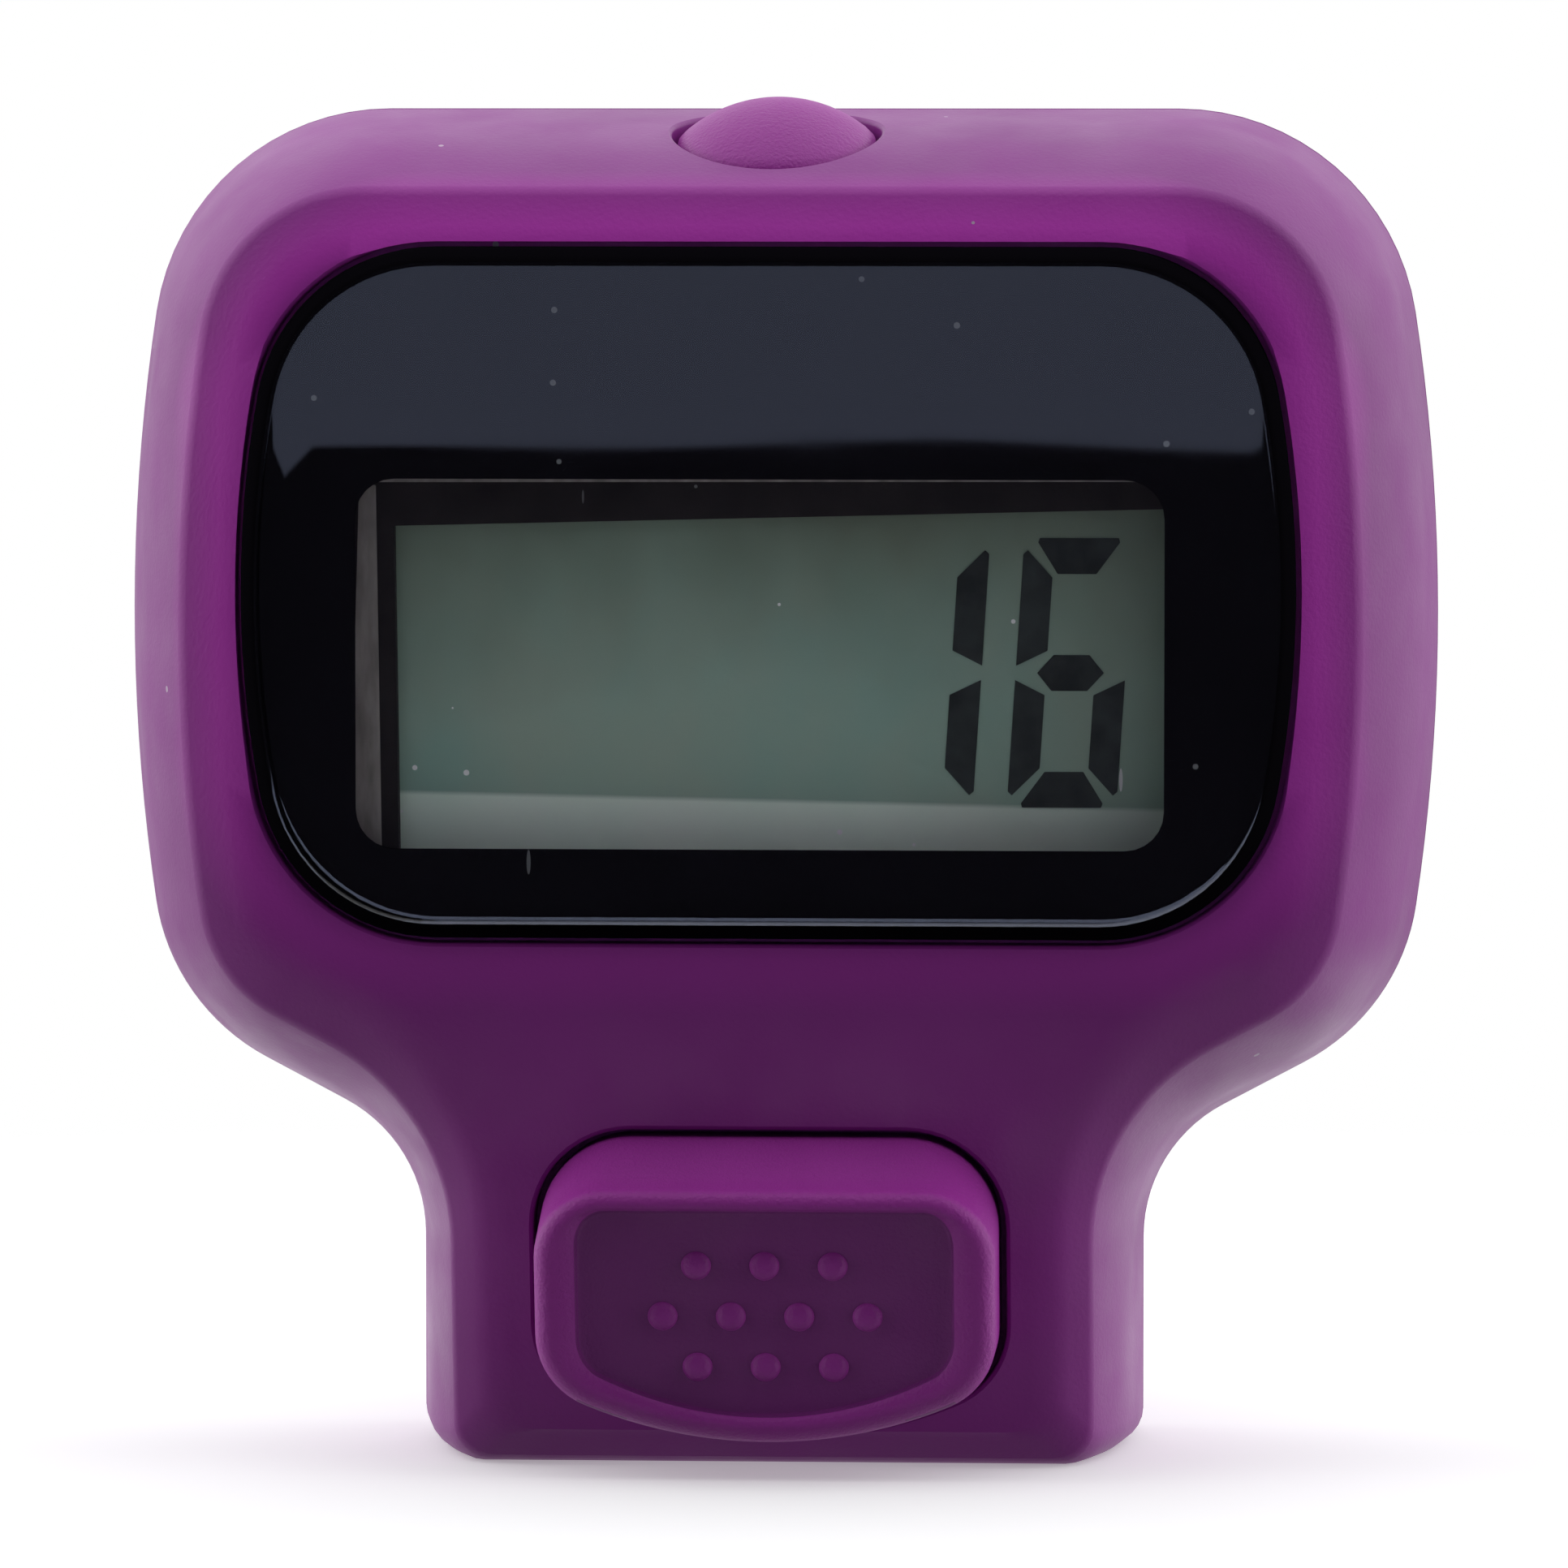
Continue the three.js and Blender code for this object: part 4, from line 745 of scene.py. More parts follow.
def make_rear_case():
    shell = lofted("rear_shell", rear_rings())
    inside = case_outline(WALL, WALL, WALL)
    hollow = lofted("tool", [both_sides(inside, level(y)) for y in (REAR_INSIDE, FRONT_DEPTH - WALL)])
    carve(hollow, saddle_tool(SADDLE_RADIUS + REAR_WALL, SADDLE_INNER_LIP))
    carve(shell, hollow)
    for x, z in CASE_SCREWS:
        unite(shell, bar("tool", x, z, REAR_BOSS, FRONT_DEPTH, REAR_INSIDE + 0.4))
    unite(
        shell,
        bar("tool", 0, BATTERY_HEIGHT, TUBE_RADIUS, TUBE_FRONT, COVER_SEAT, 96),
        bar("tool", COVER_SCREW_X, BATTERY_HEIGHT, COVER_BOSS, TUBE_FRONT, COVER_SEAT),
    )
    pill_rings = [pill_ring(0, COVER_SEAT)]
    pill_rings += [pill_ring(more, REAR_FACE - below) for more, below in mouth(REAR_MOUTH)]
    carve(
        shell,
        saddle_tool(SADDLE_RADIUS, SADDLE_LIP),
        bar("tool", 0, BATTERY_HEIGHT, BATTERY_BORE, FRONT_DEPTH - WALL, REAR_FACE + 1, 96),
        lofted("tool", pill_rings),
        bar("tool", COVER_SCREW_X, BATTERY_HEIGHT, DOOR_SCREW_HOLE, FRONT_DEPTH - WALL, REAR_FACE + 1),
        slot_tool(STRAP_UPPER),
        slot_tool(STRAP_LOWER),
    )
    for x, z in CASE_SCREWS:
        carve(
            shell,
            hole_tool(x, z, SCREW_HEAD_HOLE, CASE_SCREW_SEAT, REAR_FACE, REAR_MOUTH),
            bar("tool", x, z, SCREW_HOLE, FRONT_DEPTH - WALL, CASE_SCREW_SEAT + 1),
        )
    smooth(shell)
    return shell


# Display

def make_lens():
    """The lens, whose polished face ends in a tight bend and a wide bevel."""
    rings = [
        both_sides(lens_outline(-LENS_BACK_EDGE), level(LENS_BACK)),
        both_sides(lens_outline(0), level(LENS_BACK - LENS_BACK_EDGE)),
    ]
    for inset, below in LENS_BEVEL + LENS_BEND:
        rings.append(both_sides(lens_outline(-inset), level(below - LENS_PROUD)))
    lens = lofted("lens", rings)
    smooth(lens, 40)
    return lens


def paint_bevel_shade(piece, material):
    """Gives the bevel and the sides of the lens painted shade: black and unreflecting, standing in for the
    shadowed pocket that the clear bevel mirrors.
    """
    piece.data.materials.append(material)
    for face in piece.data.polygons:
        if abs(face.normal.y) < math.cos(LENS_SHADE_ANGLE):
            face.material_index = 1


def make_mask():
    """The black ink behind the lens, printed almost to its edge, with the window left clear."""
    sheet = (LENS_BACK + MASK_GAP, MASK_BACK - MASK_GAP)
    mask = lofted("mask", [both_sides(lens_outline(-MASK_MARGIN), level(y)) for y in sheet])
    view = block("tool", (WINDOW_LEFT, -1, WINDOW_BOTTOM), (WINDOW_RIGHT, 3, WINDOW_TOP), WINDOW_CORNER, 0.02)
    carve(mask, view)
    smooth(mask)
    return mask


def flat_piece(name, outline, front, back):
    """A thin flat piece from its outline of x and z, front to back."""
    return lofted(name, [[(x, y, z) for x, z in outline] for y in (front, back)])


def make_bezel():
    """The holder's dark frame, whose opening shows the display a little askew."""
    bezel = block(
        "bezel",
        (-BEZEL_HALF_WIDTH, BEZEL_FRONT, BEZEL_BOTTOM),
        (BEZEL_HALF_WIDTH, BOARD_FRONT, BEZEL_TOP),
        0.5, 0.12,
    )
    half_x = BEZEL_HALF_WIDTH - BEZEL_WALL
    room = block(
        "tool",
        (-half_x, CELL_FRONT - 0.02, BEZEL_BOTTOM + BEZEL_WALL),
        (half_x, BOARD_FRONT + 1, BEZEL_TOP - BEZEL_WALL),
        0.2, 0.02,
    )
    view = flat_piece("tool", [
        (GLASS_LEFT + GLASS_LEAN, GLASS_BOTTOM), (GLASS_RIGHT, GLASS_BOTTOM),
        (GLASS_RIGHT, GLASS_TOP_RIGHT), (GLASS_LEFT, GLASS_TOP_LEFT),
    ], 0, CELL_FRONT + 0.5)
    carve(bezel, room, view)
    smooth(bezel)
    return bezel


def make_painted_glint():
    """A painted highlight: pale strips left of the glass and along the top of the window, where edges catch
    the light.
    """
    front, back = BEZEL_FRONT - 0.09, BEZEL_FRONT + 0.03
    low = WINDOW_BOTTOM - 0.55
    strip = flat_piece("painted_glint_strips", [
        (WINDOW_LEFT - 0.3, low), (-10.88, low),
        (-11.02, WINDOW_TOP - 0.25), (WINDOW_LEFT + 0.02, WINDOW_TOP - 0.11),
    ], front, back)
    left, right = WINDOW_LEFT - 0.1, WINDOW_RIGHT + 0.3
    unite(strip, flat_piece("tool", [
        (left, WINDOW_TOP - 0.15), (right, WINDOW_TOP - 0.09),
        (right, WINDOW_TOP + 0.15), (left, WINDOW_TOP + 0.15),
    ], front, back))
    smooth(strip)
    return strip


def make_display_face():
    face = block(
        "display_face",
        (-FILM_HALF_WIDTH, CELL_FRONT, FILM_BOTTOM),
        (FILM_HALF_WIDTH, CELL_FRONT + FILM_THICKNESS, FILM_TOP),
        0.1, 0.02,
    )
    smooth(face)
    return face


def segment_outline(name):
    """A display segment about its digit's middle: bars across and upright bars with slanting ends."""
    side = DIGIT_HALF_WIDTH
    outer = side + BAR_WIDTH / 2
    inner = side - BAR_WIDTH / 2
    top = DIGIT_HALF_HEIGHT + BAR_HEIGHT / 2
    under = DIGIT_HALF_HEIGHT - BAR_HEIGHT / 2
    half = BAR_HEIGHT / 2
    if name == "middle":
        return [(-0.93, 0), (-0.5, half), (0.5, half), (0.93, 0), (0.5, -half), (-0.5, -half)]
    if name in ("top", "bottom"):
        shape = [(-1.1, top), (1.1, top), (1.14, top - 0.12)]
        shape += [(0.54, under), (-0.54, under), (-1.14, top - 0.12)]
        return shape if name == "top" else [(x, -z) for x, z in shape]
    shape = [(outer, 0.2), (outer, top - 0.45), (outer - 0.12, top - 0.34)]
    shape += [(inner, under - 0.1), (inner, half + 0.12)]
    right = 1 if name.endswith("right") else -1
    up = 1 if name.startswith("upper") else -1
    return [(right * x, up * z) for x, z in shape]


def make_digits():
    one = ("upper_right", "lower_right")
    six = ("top", "upper_left", "middle", "lower_left", "lower_right", "bottom")
    digits = []
    for place, names in ((1, one), (0, six)):
        middle = LAST_DIGIT - place * DIGIT_PITCH
        for name in names:
            outline = [(middle + x + z * DIGIT_SLANT, DIGIT_MIDDLE + z) for x, z in segment_outline(name)]
            piece_name = "digit_" + str(place) + "_" + name
            digits.append(flat_piece(piece_name, outline, CELL_FRONT - 0.03, CELL_FRONT + 0.01))
    return digits


# Buttons

def dish_outline(inset):
    """The edge of the sunk face: the rim round it is narrower above and below than at the sides."""
    low = BUTTON_BOTTOM + BUTTON_RIM
    high = BUTTON_RIM_TOP - BUTTON_RIM
    start = BUTTON_BOTTOM + BUTTON_RIM_BELOW
    stretch = (BUTTON_RIM_TOP - BUTTON_RIM_ABOVE - start) / (high - low)
    inner = button_outline(BUTTON_RIM_TOP, BUTTON_RIM_CORNER, BUTTON_RIM + inset)
    return [(x, start + (z - low) * stretch) for x, z in inner]


def between(first, second, share, fall=0.0):
    """A ring part of the way from one ring to another, and a fall further back."""
    points = [[a + (b - a) * share for a, b in zip(p, q)] for p, q in zip(first, second)]
    return [(x, y + fall, z) for x, y, z in points]


def make_count_button():
    def rim(inset, depth):
        outline = button_outline(BUTTON_RIM_TOP, BUTTON_RIM_CORNER, inset)
        return both_sides(outline, lambda z: button_front(z) + depth)

    def base(inset, depth):
        outline = button_outline(BUTTON_BASE_TOP, BUTTON_BASE_CORNER, inset)
        return both_sides(outline, lambda z: neck_plane(z) + depth)

    def dish(inset, depth):
        return both_sides(dish_outline(inset), lambda z: button_front(z) + depth)

    rings = [base(0, 2.45), base(0, 0.3)]
    lower = base(0, 0.1)
    upper = rim(0, BUTTON_ROUND_DEPTH)
    for share in (0, 0.25, 0.5, 0.75):
        rings.append(between(lower, upper, share))
    for i in range(8):
        turn = QUARTER * i / 7
        rings.append(rim(BUTTON_ROUND * (1 - math.cos(turn)), BUTTON_ROUND_DEPTH * (1 - math.sin(turn))))
    crest = rim(BUTTON_ROUND, 0)
    lip = dish(0, 0)
    for share in (0.25, 0.5, 0.75, 0.9, 1):
        rings.append(between(crest, lip, share, BUTTON_RIM_FALL * share ** 2))
    rings += [dish(0.03, BUTTON_DISH - 0.12), dish(0.07, BUTTON_DISH - 0.04), dish(0.16, BUTTON_DISH)]
    button = lofted("count_key", rings)
    hollow = lofted("tool", [
        both_sides(button_outline(BUTTON_BASE_TOP, BUTTON_BASE_CORNER, BUTTON_WALL), level(BOARD_FRONT)),
        rim(BUTTON_WALL, BUTTON_DISH + BUTTON_WALL),
    ])
    side = BUTTON_HALF_WIDTH + FLANGE_WIDTH - FLANGE_CORNER
    bottom = BUTTON_BOTTOM + FLANGE_RISE + FLANGE_CORNER
    top = BUTTON_BASE_TOP + FLANGE_WIDTH - FLANGE_CORNER
    outline = arc(side, bottom, FLANGE_CORNER, -QUARTER, 0, 6)
    outline += arc(side, top, FLANGE_CORNER, 0, QUARTER, 6)
    flange = lofted("tool", [
        both_sides(outline, lambda z, more=more: neck_plane(z) + WALL + FLANGE_GAP + more)
        for more in (FLANGE_THICKNESS, 0)
    ])
    unite(button, flange)
    carve(button, hollow)
    post_start = button_front(POST_HEIGHT) + BUTTON_WALL - 0.1
    unite(button, bar("tool", 0, POST_HEIGHT, POST_RADIUS, post_start, POST_END))
    for x, z in pip_places():
        floor = button_front(z) + BUTTON_DISH
        dome = ((0.3, 1), (-0.02, 1), (-0.12, 0.9), (-0.19, 0.62), (-0.22, 0.24))
        profile = [(floor + step, share * PIP_RADIUS) for step, share in dome]
        unite(button, turned("tool", (x, 0, z), (0, 1, 0), profile, 24))
    smooth(button, 38)
    return button


def paint_dish_shade(piece, material):
    """Gives the sunk face round its pips painted shade: a darker copy of the button's plastic for its recess.
    """
    piece.data.materials.append(material)
    for face in piece.data.polygons:
        x, y, z = face.center / MM
        depth = y - FACE_Y / MM - button_front(z)
        within = abs(x) < BUTTON_HALF_WIDTH - BUTTON_RIM + 0.05
        below_rim = BUTTON_BOTTOM + BUTTON_RIM_BELOW - 0.05 < z < BUTTON_RIM_TOP - BUTTON_RIM_ABOVE + 0.05
        on_pip = any(math.hypot(x - px, z - pz) < PIP_RADIUS for px, pz in pip_places())
        on_pip = on_pip and depth < BUTTON_DISH - 0.005
        if within and below_rim and not on_pip and 0.19 < depth < BUTTON_DISH + 0.05:
            face.material_index = 1


def pip_places():
    middle = (BUTTON_BOTTOM + BUTTON_RIM_TOP) / 2
    places = []
    for row, count in ((1, 3), (0, 4), (-1, 3)):
        places += [((i - (count - 1) / 2) * PIP_PITCH, middle + row * PIP_ROW_PITCH) for i in range(count)]
    return places


def make_reset_button():
    """A domed cap that leans with the top wall, on a flange and a stem inside the case."""
    front, back = (front_inset(RESET_DEPTH + side * RESET_RADIUS) for side in (-1, 1))
    lean = (front - back) / (2 * RESET_RADIUS)
    rim = HEIGHT - (front + back) / 2 - RESET_RIM_SUNK
    low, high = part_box("reset_button")
    flange_half_depth = (high.y - low.y) / MM / 2
    flange_top = low.z / MM + 1.5
    flange_low = flange_top - 0.8

    def ring(radius, height):
        around = arc(0, RESET_DEPTH, radius, 0, 2 * math.pi, 72)[:-1]
        return [(px, py, height + lean * (py - RESET_DEPTH)) for px, py in around]

    dome_radius = (RESET_RADIUS ** 2 + RESET_RISE ** 2) / (2 * RESET_RISE)
    reach = math.asin(RESET_RADIUS / dome_radius)
    rings = [ring(RESET_RADIUS, flange_top - 0.2), ring(RESET_RADIUS, rim - 0.12)]
    rings.append(ring(RESET_RADIUS - 0.03, rim))
    for i in range(1, 12):
        turn = reach * (1 - i / 12)
        rise = dome_radius * (math.cos(turn) - math.cos(reach))
        rings.append(ring(dome_radius * math.sin(turn), rim + rise))
    rings.append(ring(0.02, rim + RESET_RISE))
    button = lofted("reset_key", rings)
    flange_x = RESET_RADIUS + 0.8
    unite(button, lofted("tool", [
        corner_ring(
            (-flange_x, RESET_DEPTH - flange_half_depth), (flange_x, RESET_DEPTH + flange_half_depth), 0.4,
            lambda x, y, z=z: (x, y, z),
        )
        for z in (flange_low, flange_top)
    ]))
    stem = [(low.z / MM, 1.1), (flange_low + 0.2, 1.1)]
    unite(button, turned("tool", (0, RESET_DEPTH, 0), (0, 0, 1), stem, 32))
    smooth(button, 30)
    return button


# Battery cover and screws

def make_battery_cover():
    steps = edge_steps(COVER_EDGE)
    rings = [pill_ring(-COVER_GAP - 0.05, COVER_SEAT), pill_ring(-COVER_GAP, COVER_SEAT + 0.05)]
    rings += [pill_ring(-COVER_GAP - inset, REAR_FACE - below) for inset, below in steps]
    cover = lofted("battery_door", rings)
    plug = [
        (PLUG_START, PLUG_RADIUS - PLUG_CHAMFER),
        (PLUG_START + PLUG_CHAMFER, PLUG_RADIUS),
        (COVER_SEAT + 0.4, PLUG_RADIUS),
    ]
    unite(cover, turned("tool", (0, 0, BATTERY_HEIGHT), (0, 1, 0), plug, 96))
    carve(
        cover,
        hole_tool(COVER_SCREW_X, BATTERY_HEIGHT, DOOR_SCREW_HEAD_HOLE, DOOR_SCREW_SEAT, REAR_FACE, 0.1),
        bar("tool", COVER_SCREW_X, BATTERY_HEIGHT, DOOR_SCREW_HOLE, 11, REAR_FACE),
    )
    smooth(cover)
    return cover


def make_screw(name, x, z, seat, radius, head_radius, head, length):
    """A round-headed screw with a tapering cross, its point towards the face."""
    crown = head * HEAD_CROWN
    profile = [(seat - length, radius * 0.55), (seat - length + 0.4, radius), (seat - 0.01, radius)]
    profile += [(seat, head_radius - 0.05), (seat + 0.05, head_radius)]
    profile.append((seat + head - crown - 0.03, head_radius))
    for i in range(1, 7):
        turn = QUARTER * i / 6
        width = max(head_radius * math.cos(turn * 0.98), 0.03)
        profile.append((seat + head - crown * (1 - math.sin(turn)), width))
    screw = turned(name, (x, 0, z), (0, 1, 0), profile, 40)
    reach = head_radius * CROSS_REACH
    half = head_radius * CROSS_HALF_WIDTH
    for across, upright in ((reach, half), (half, reach)):
        rings = []
        for share, y in ((0.62, seat + head * 0.45), (1, seat + head + 0.2)):
            low = (x - across * share, z - upright * share)
            high = (x + across * share, z + upright * share)
            rings.append(corner_ring(low, high, half * 0.5, lambda px, pz, y=y: (px, y, pz)))
        carve(screw, lofted("tool", rings))
    smooth(screw)
    return screw


# Strap

def loop_place(angle, radius):
    return STRAP_TURN + radius * math.cos(angle), STRAP_MIDDLE + radius * math.sin(angle)


def strap_line(upper):
    """The middle line of a strap half, from inside the rear case round to its free end."""
    side = 1 if upper else -1
    start = REAR_INSIDE - 1.6
    line = [(start + (STRAP_TURN - start) * i / 10, STRAP_MIDDLE + side * STRAP_RADIUS) for i in range(10)]
    for i in range(57):
        turn = (QUARTER + STRAP_TIP) * i / 56
        share = min(turn / math.radians(45), 1) if upper else 0
        swell = (STRAP_OUTER - STRAP_RADIUS) * share * share * (3 - 2 * share)
        line.append(loop_place(side * (QUARTER - turn), STRAP_RADIUS + swell))
    return line


def make_band(name, line):
    """A band with rounded edges along a line of y and z, whose free end is round."""
    lengths = [0.0]
    for (y0, z0), (y1, z1) in zip(line, line[1:]):
        lengths.append(lengths[-1] + math.hypot(y1 - y0, z1 - z0))
    total = lengths[-1]
    corner = STRAP_END_CORNER
    stops = [s for s in lengths if s < total - corner]
    stops += [total - corner * (1 - math.sin(QUARTER * i / 14)) for i in range(15)]

    def place(distance):
        index = max(i for i, s in enumerate(lengths[:-1]) if s <= distance + 1e-9)
        share = (distance - lengths[index]) / (lengths[index + 1] - lengths[index])
        (y0, z0), (y1, z1) = line[index], line[index + 1]
        return Vector((0, y0 + (y1 - y0) * share, z0 + (z1 - z0) * share))

    rings = []
    for distance in stops:
        middle = place(distance)
        ahead = (place(min(distance + 0.05, total)) - place(max(distance - 0.05, 0))).normalized()
        normal = Vector((0, -ahead.z, ahead.y))
        past = max(distance - (total - corner), 0) / corner
        half = STRAP_WIDTH / 2 - corner * (1 - math.sqrt(max(1 - past * past, 0)))
        thin = STRAP_THICKNESS / 2 * min(1, 0.35 + 0.65 * math.sqrt(max(1 - past ** 8, 0)))
        half = max(half, STRAP_WIDTH / 2 - corner)
        edge = min(0.35, thin * 0.7)
        rings.append(corner_ring(
            (-half, -thin), (half, thin), edge,
            lambda x, t, m=middle, n=normal: m + n * t + Vector((x, 0, 0)),
        ))
    return lofted(name, rings)


def strap_bar(z):
    back = REAR_INSIDE - 0.12
    half_x = STRAP_WIDTH / 2 + 1.25
    low, high = (-half_x, back - 1.6, z - STRAP_BAR_HALF), (half_x, back, z + STRAP_BAR_HALF)
    return block("tool", low, high, 0.3, 0.2)


def radial(angle, profile):
    """A round tool that points outwards from the middle of the strap's loop."""
    return turned("tool", (0, STRAP_TURN, STRAP_MIDDLE), (0, math.cos(angle), math.sin(angle)), profile, 40)


def make_peg_half():
    band = make_band("strap_lower", strap_line(False))
    unite(band, strap_bar(STRAP_LOWER))
    head = STRAP_OUTER + STRAP_THICKNESS / 2 + 0.15
    peg = [(STRAP_RADIUS, 0.85), (STRAP_RADIUS + 0.6, 0.98), (STRAP_RADIUS + 0.75, 0.85)]
    peg += [(head, 0.85), (head + 0.02, 1.3), (head + 0.14, 1.4), (head + 0.26, 1.4)]
    peg += [(head + 0.42, 1.26), (head + 0.54, 0.98), (head + 0.6, 0.5)]
    unite(band, radial(PEG_ANGLE, peg))
    smooth(band, 35)
    return band


def make_hole_half():
    band = make_band("strap_upper", strap_line(True))
    unite(band, strap_bar(STRAP_UPPER))
    outside = STRAP_OUTER + STRAP_THICKNESS / 2
    inside = STRAP_OUTER - STRAP_THICKNESS / 2
    for step in (-2, -1, 0, 1):
        wide, round_end = STRAP_HOLE + 1.12, STRAP_HOLE + 0.1
        tool = [(inside - 1, wide), (inside + 0.02, round_end), (inside + 0.12, STRAP_HOLE)]
        tool += [(outside - 0.12, STRAP_HOLE), (outside - 0.02, round_end), (outside + 1, wide)]
        carve(band, radial(PEG_ANGLE + step * STRAP_HOLE_TURN, tool))
    smooth(band, 35)
    return band


# Materials
CASE_PURPLE = (0.3, 0.03, 0.3)
# Painted light: the paler purple of the rim round the display's top and sides
PAINTED_RIM_LIGHT_PURPLE = (0.62, 0.055, 0.58)
# Paler than the case's purple: painted light on the buttons
BUTTON_PAINTED_LIGHT_PURPLE = (0.39, 0.037, 0.37)
# Painted shade in the count button's sunk face
PAINTED_SHADE_DISH_PURPLE = (0.21, 0.025, 0.21)
STRAP_PURPLE = (0.21, 0.025, 0.21)
CASE_FLECK = (0.6, 0.42, 0.6)
CASE_SCRATCH = (0.5, 0.3, 0.5)
LENS_DUST = (0.2, 0.21, 0.22)
DISPLAY_DUST = (0.95, 0.97, 0.97)
INK_BLACK = (0.003, 0.003, 0.004)
INK_TONES = ((0.0022, 0.002, 0.0032), (0.0034, 0.0032, 0.0046))
# Painted shade on the lens's bevel and sides
PAINTED_SHADE_BLACK = (0.004, 0.0035, 0.005)
HOLDER_BROWN = (0.02, 0.017, 0.017)
# Painted highlight of the pale strips at the display window's edges
PAINTED_GLINT_GREY = (0.34, 0.32, 0.3)
DISPLAY_GREEN = (0.35, 0.49, 0.4)
DISPLAY_TONES = ((0.37, 0.49, 0.4), (0.31, 0.49, 0.41))
DISPLAY_SHADE = (0.21, 0.26, 0.2)
DISPLAY_RIGHT_END = (0.16, 0.19, 0.15)
STRIP_TONES = ((0.86, 0.98, 0.86), (0.8, 0.98, 0.84))
SEGMENT_GREY = (0.032, 0.039, 0.039)
REFLECTOR_GREEN = (0.16, 0.24, 0.2)
GLASS_GREEN = (0.9, 0.97, 0.93)
ZEBRA_TONES = ((0.52, 0.48, 0.42), (0.03, 0.03, 0.03))
BOARD_GREEN = (0.012, 0.11, 0.035)
BOARD_TONES = {"Color1": (0.01, 0.1, 0.03), "Color2": (0.013, 0.125, 0.04), "Mortar": (0.03, 0.2, 0.07)}
SWITCH_BLACK = (0.012, 0.012, 0.013)
EPOXY_BLACK = (0.01, 0.01, 0.011)
CERAMIC_TAN = (0.38, 0.25, 0.14)
STEEL_GREY = (0.6, 0.6, 0.61)
BATTERY_GREY = (0.64, 0.64, 0.63)
BRASS_YELLOW = (0.62, 0.44, 0.19)

# The display's shade below the window's top, pale strip above its bottom, and dark right end
SHADE_START = 0.25
SHADE_END = 6.25
SHADE_WAVE = 1.6
STRIP_START = 1.18
STRIP_END = 1.32
STRIP_TILT = 0.0203
RIGHT_END_START = 3
RIGHT_END_FULL = 10.5


def new_material(name, color, roughness, **sockets):
    material = bpy.data.materials.new(name)
    material.use_nodes = True
    shader = material.node_tree.nodes["Principled BSDF"]
    shader.inputs["Base Color"].default_value = (*color, 1)
    shader.inputs["Roughness"].default_value = roughness
    for key, value in sockets.items():
        shader.inputs[key.replace("_", " ")].default_value = value
    return material


def add_node(tree, kind, links=None, **settings):
    """Adds a node; settings with an input's name go to that input, and links join outputs to inputs."""
    node = tree.nodes.new("ShaderNode" + kind)
    for key, value in settings.items():
        if hasattr(node, key):
            setattr(node, key, value)
        else:
            node.inputs[key.replace("_", " ")].default_value = value
    for key, output in (links or {}).items():
        tree.links.new(output, node.inputs[key])
    return node


def place_on(tree, stretch=(1, 1, 1), turn=0.0):
    """The object's own coordinates, stretched and turned in the plane of the face."""
    source = add_node(tree, "TexCoord").outputs["Object"]
    mapping = add_node(tree, "Mapping", {"Vector": source}, Scale=stretch)
    mapping.inputs["Rotation"].default_value = (0, turn, 0)
    return mapping.outputs["Vector"]


def grain(tree, place, size_mm, detail, coarseness=0.5):
    """A cloudy pattern of about a size in millimetres."""
    node = add_node(tree, "TexNoise", {"Vector": place}, Scale=1 / (size_mm * MM), Detail=detail)
    node.inputs["Roughness"].default_value = coarseness
    return node.outputs["Fac"]


def spread(tree, value, low, high, start=0.3, end=0.7):
    """Goes from low to high while the value goes from start to end, and stays level outside."""
    node = add_node(tree, "MapRange", {"Value": value})
    for key, number in (("From Min", start), ("From Max", end), ("To Min", low), ("To Max", high)):
        node.inputs[key].default_value = number
    return node.outputs["Result"]


def patches(tree, place, size_mm, detail):
    """Soft patches, from 0 to 1."""
    return spread(tree, grain(tree, place, size_mm, detail), 0, 1)


def reckon(tree, operation, *values):
    """A sum on numbers and other nodes' outputs."""
    node = add_node(tree, "Math", operation=operation)
    for index, value in enumerate(values):
        if isinstance(value, (int, float)):
            node.inputs[index].default_value = value
        else:
            tree.links.new(value, node.inputs[index])
    return node.outputs["Value"]


def blended(tree, share, first, second):
    """A colour between two others, each of which is a colour or another node's output."""
    node = add_node(tree, "Mix", data_type="RGBA")
    tree.links.new(share, node.inputs["Factor"])
    for name, value in (("A", first), ("B", second)):
        socket = next(s for s in node.inputs if s.name == name and s.type == "RGBA")
        if isinstance(value, tuple):
            socket.default_value = (*value, 1)
        else:
            tree.links.new(value, socket)
    return next(s for s in node.outputs if s.type == "RGBA")


def finish(material, color, roughness=None, height=None, height_mm=0.01):
    """Joins patterns for colour, roughness and small heights to a material; None leaves it as it is."""
    tree = material.node_tree
    shader = tree.nodes["Principled BSDF"]
    if color is not None:
        tree.links.new(color, shader.inputs["Base Color"])
    if roughness is not None:
        tree.links.new(roughness, shader.inputs["Roughness"])
    if height is not None:
        bump = add_node(tree, "Bump", {"Height": height}, Strength=1.0, Distance=height_mm * MM)
        tree.links.new(bump.outputs["Normal"], shader.inputs["Normal"])


def specks(tree, spacing_mm, size_share, keep, stretch=(1, 1, 1), turn=0.0):
    """Sparse flecks: a share of the cells of a scattered pattern holds a small spot near its middle."""
    place = place_on(tree, stretch, turn)
    cells = add_node(tree, "TexVoronoi", {"Vector": place}, Scale=1 / (spacing_mm * MM))
    spot = reckon(tree, "LESS_THAN", cells.outputs["Distance"], size_share)
    parts = add_node(tree, "SeparateColor", {"Color": cells.outputs["Color"]})
    chosen = reckon(tree, "LESS_THAN", parts.outputs["Red"], keep)
    return reckon(tree, "MULTIPLY", spot, chosen)


def shaded(color, share):
    """A colour made darker or paler."""
    return tuple(min(part * share, 1) for part in color)


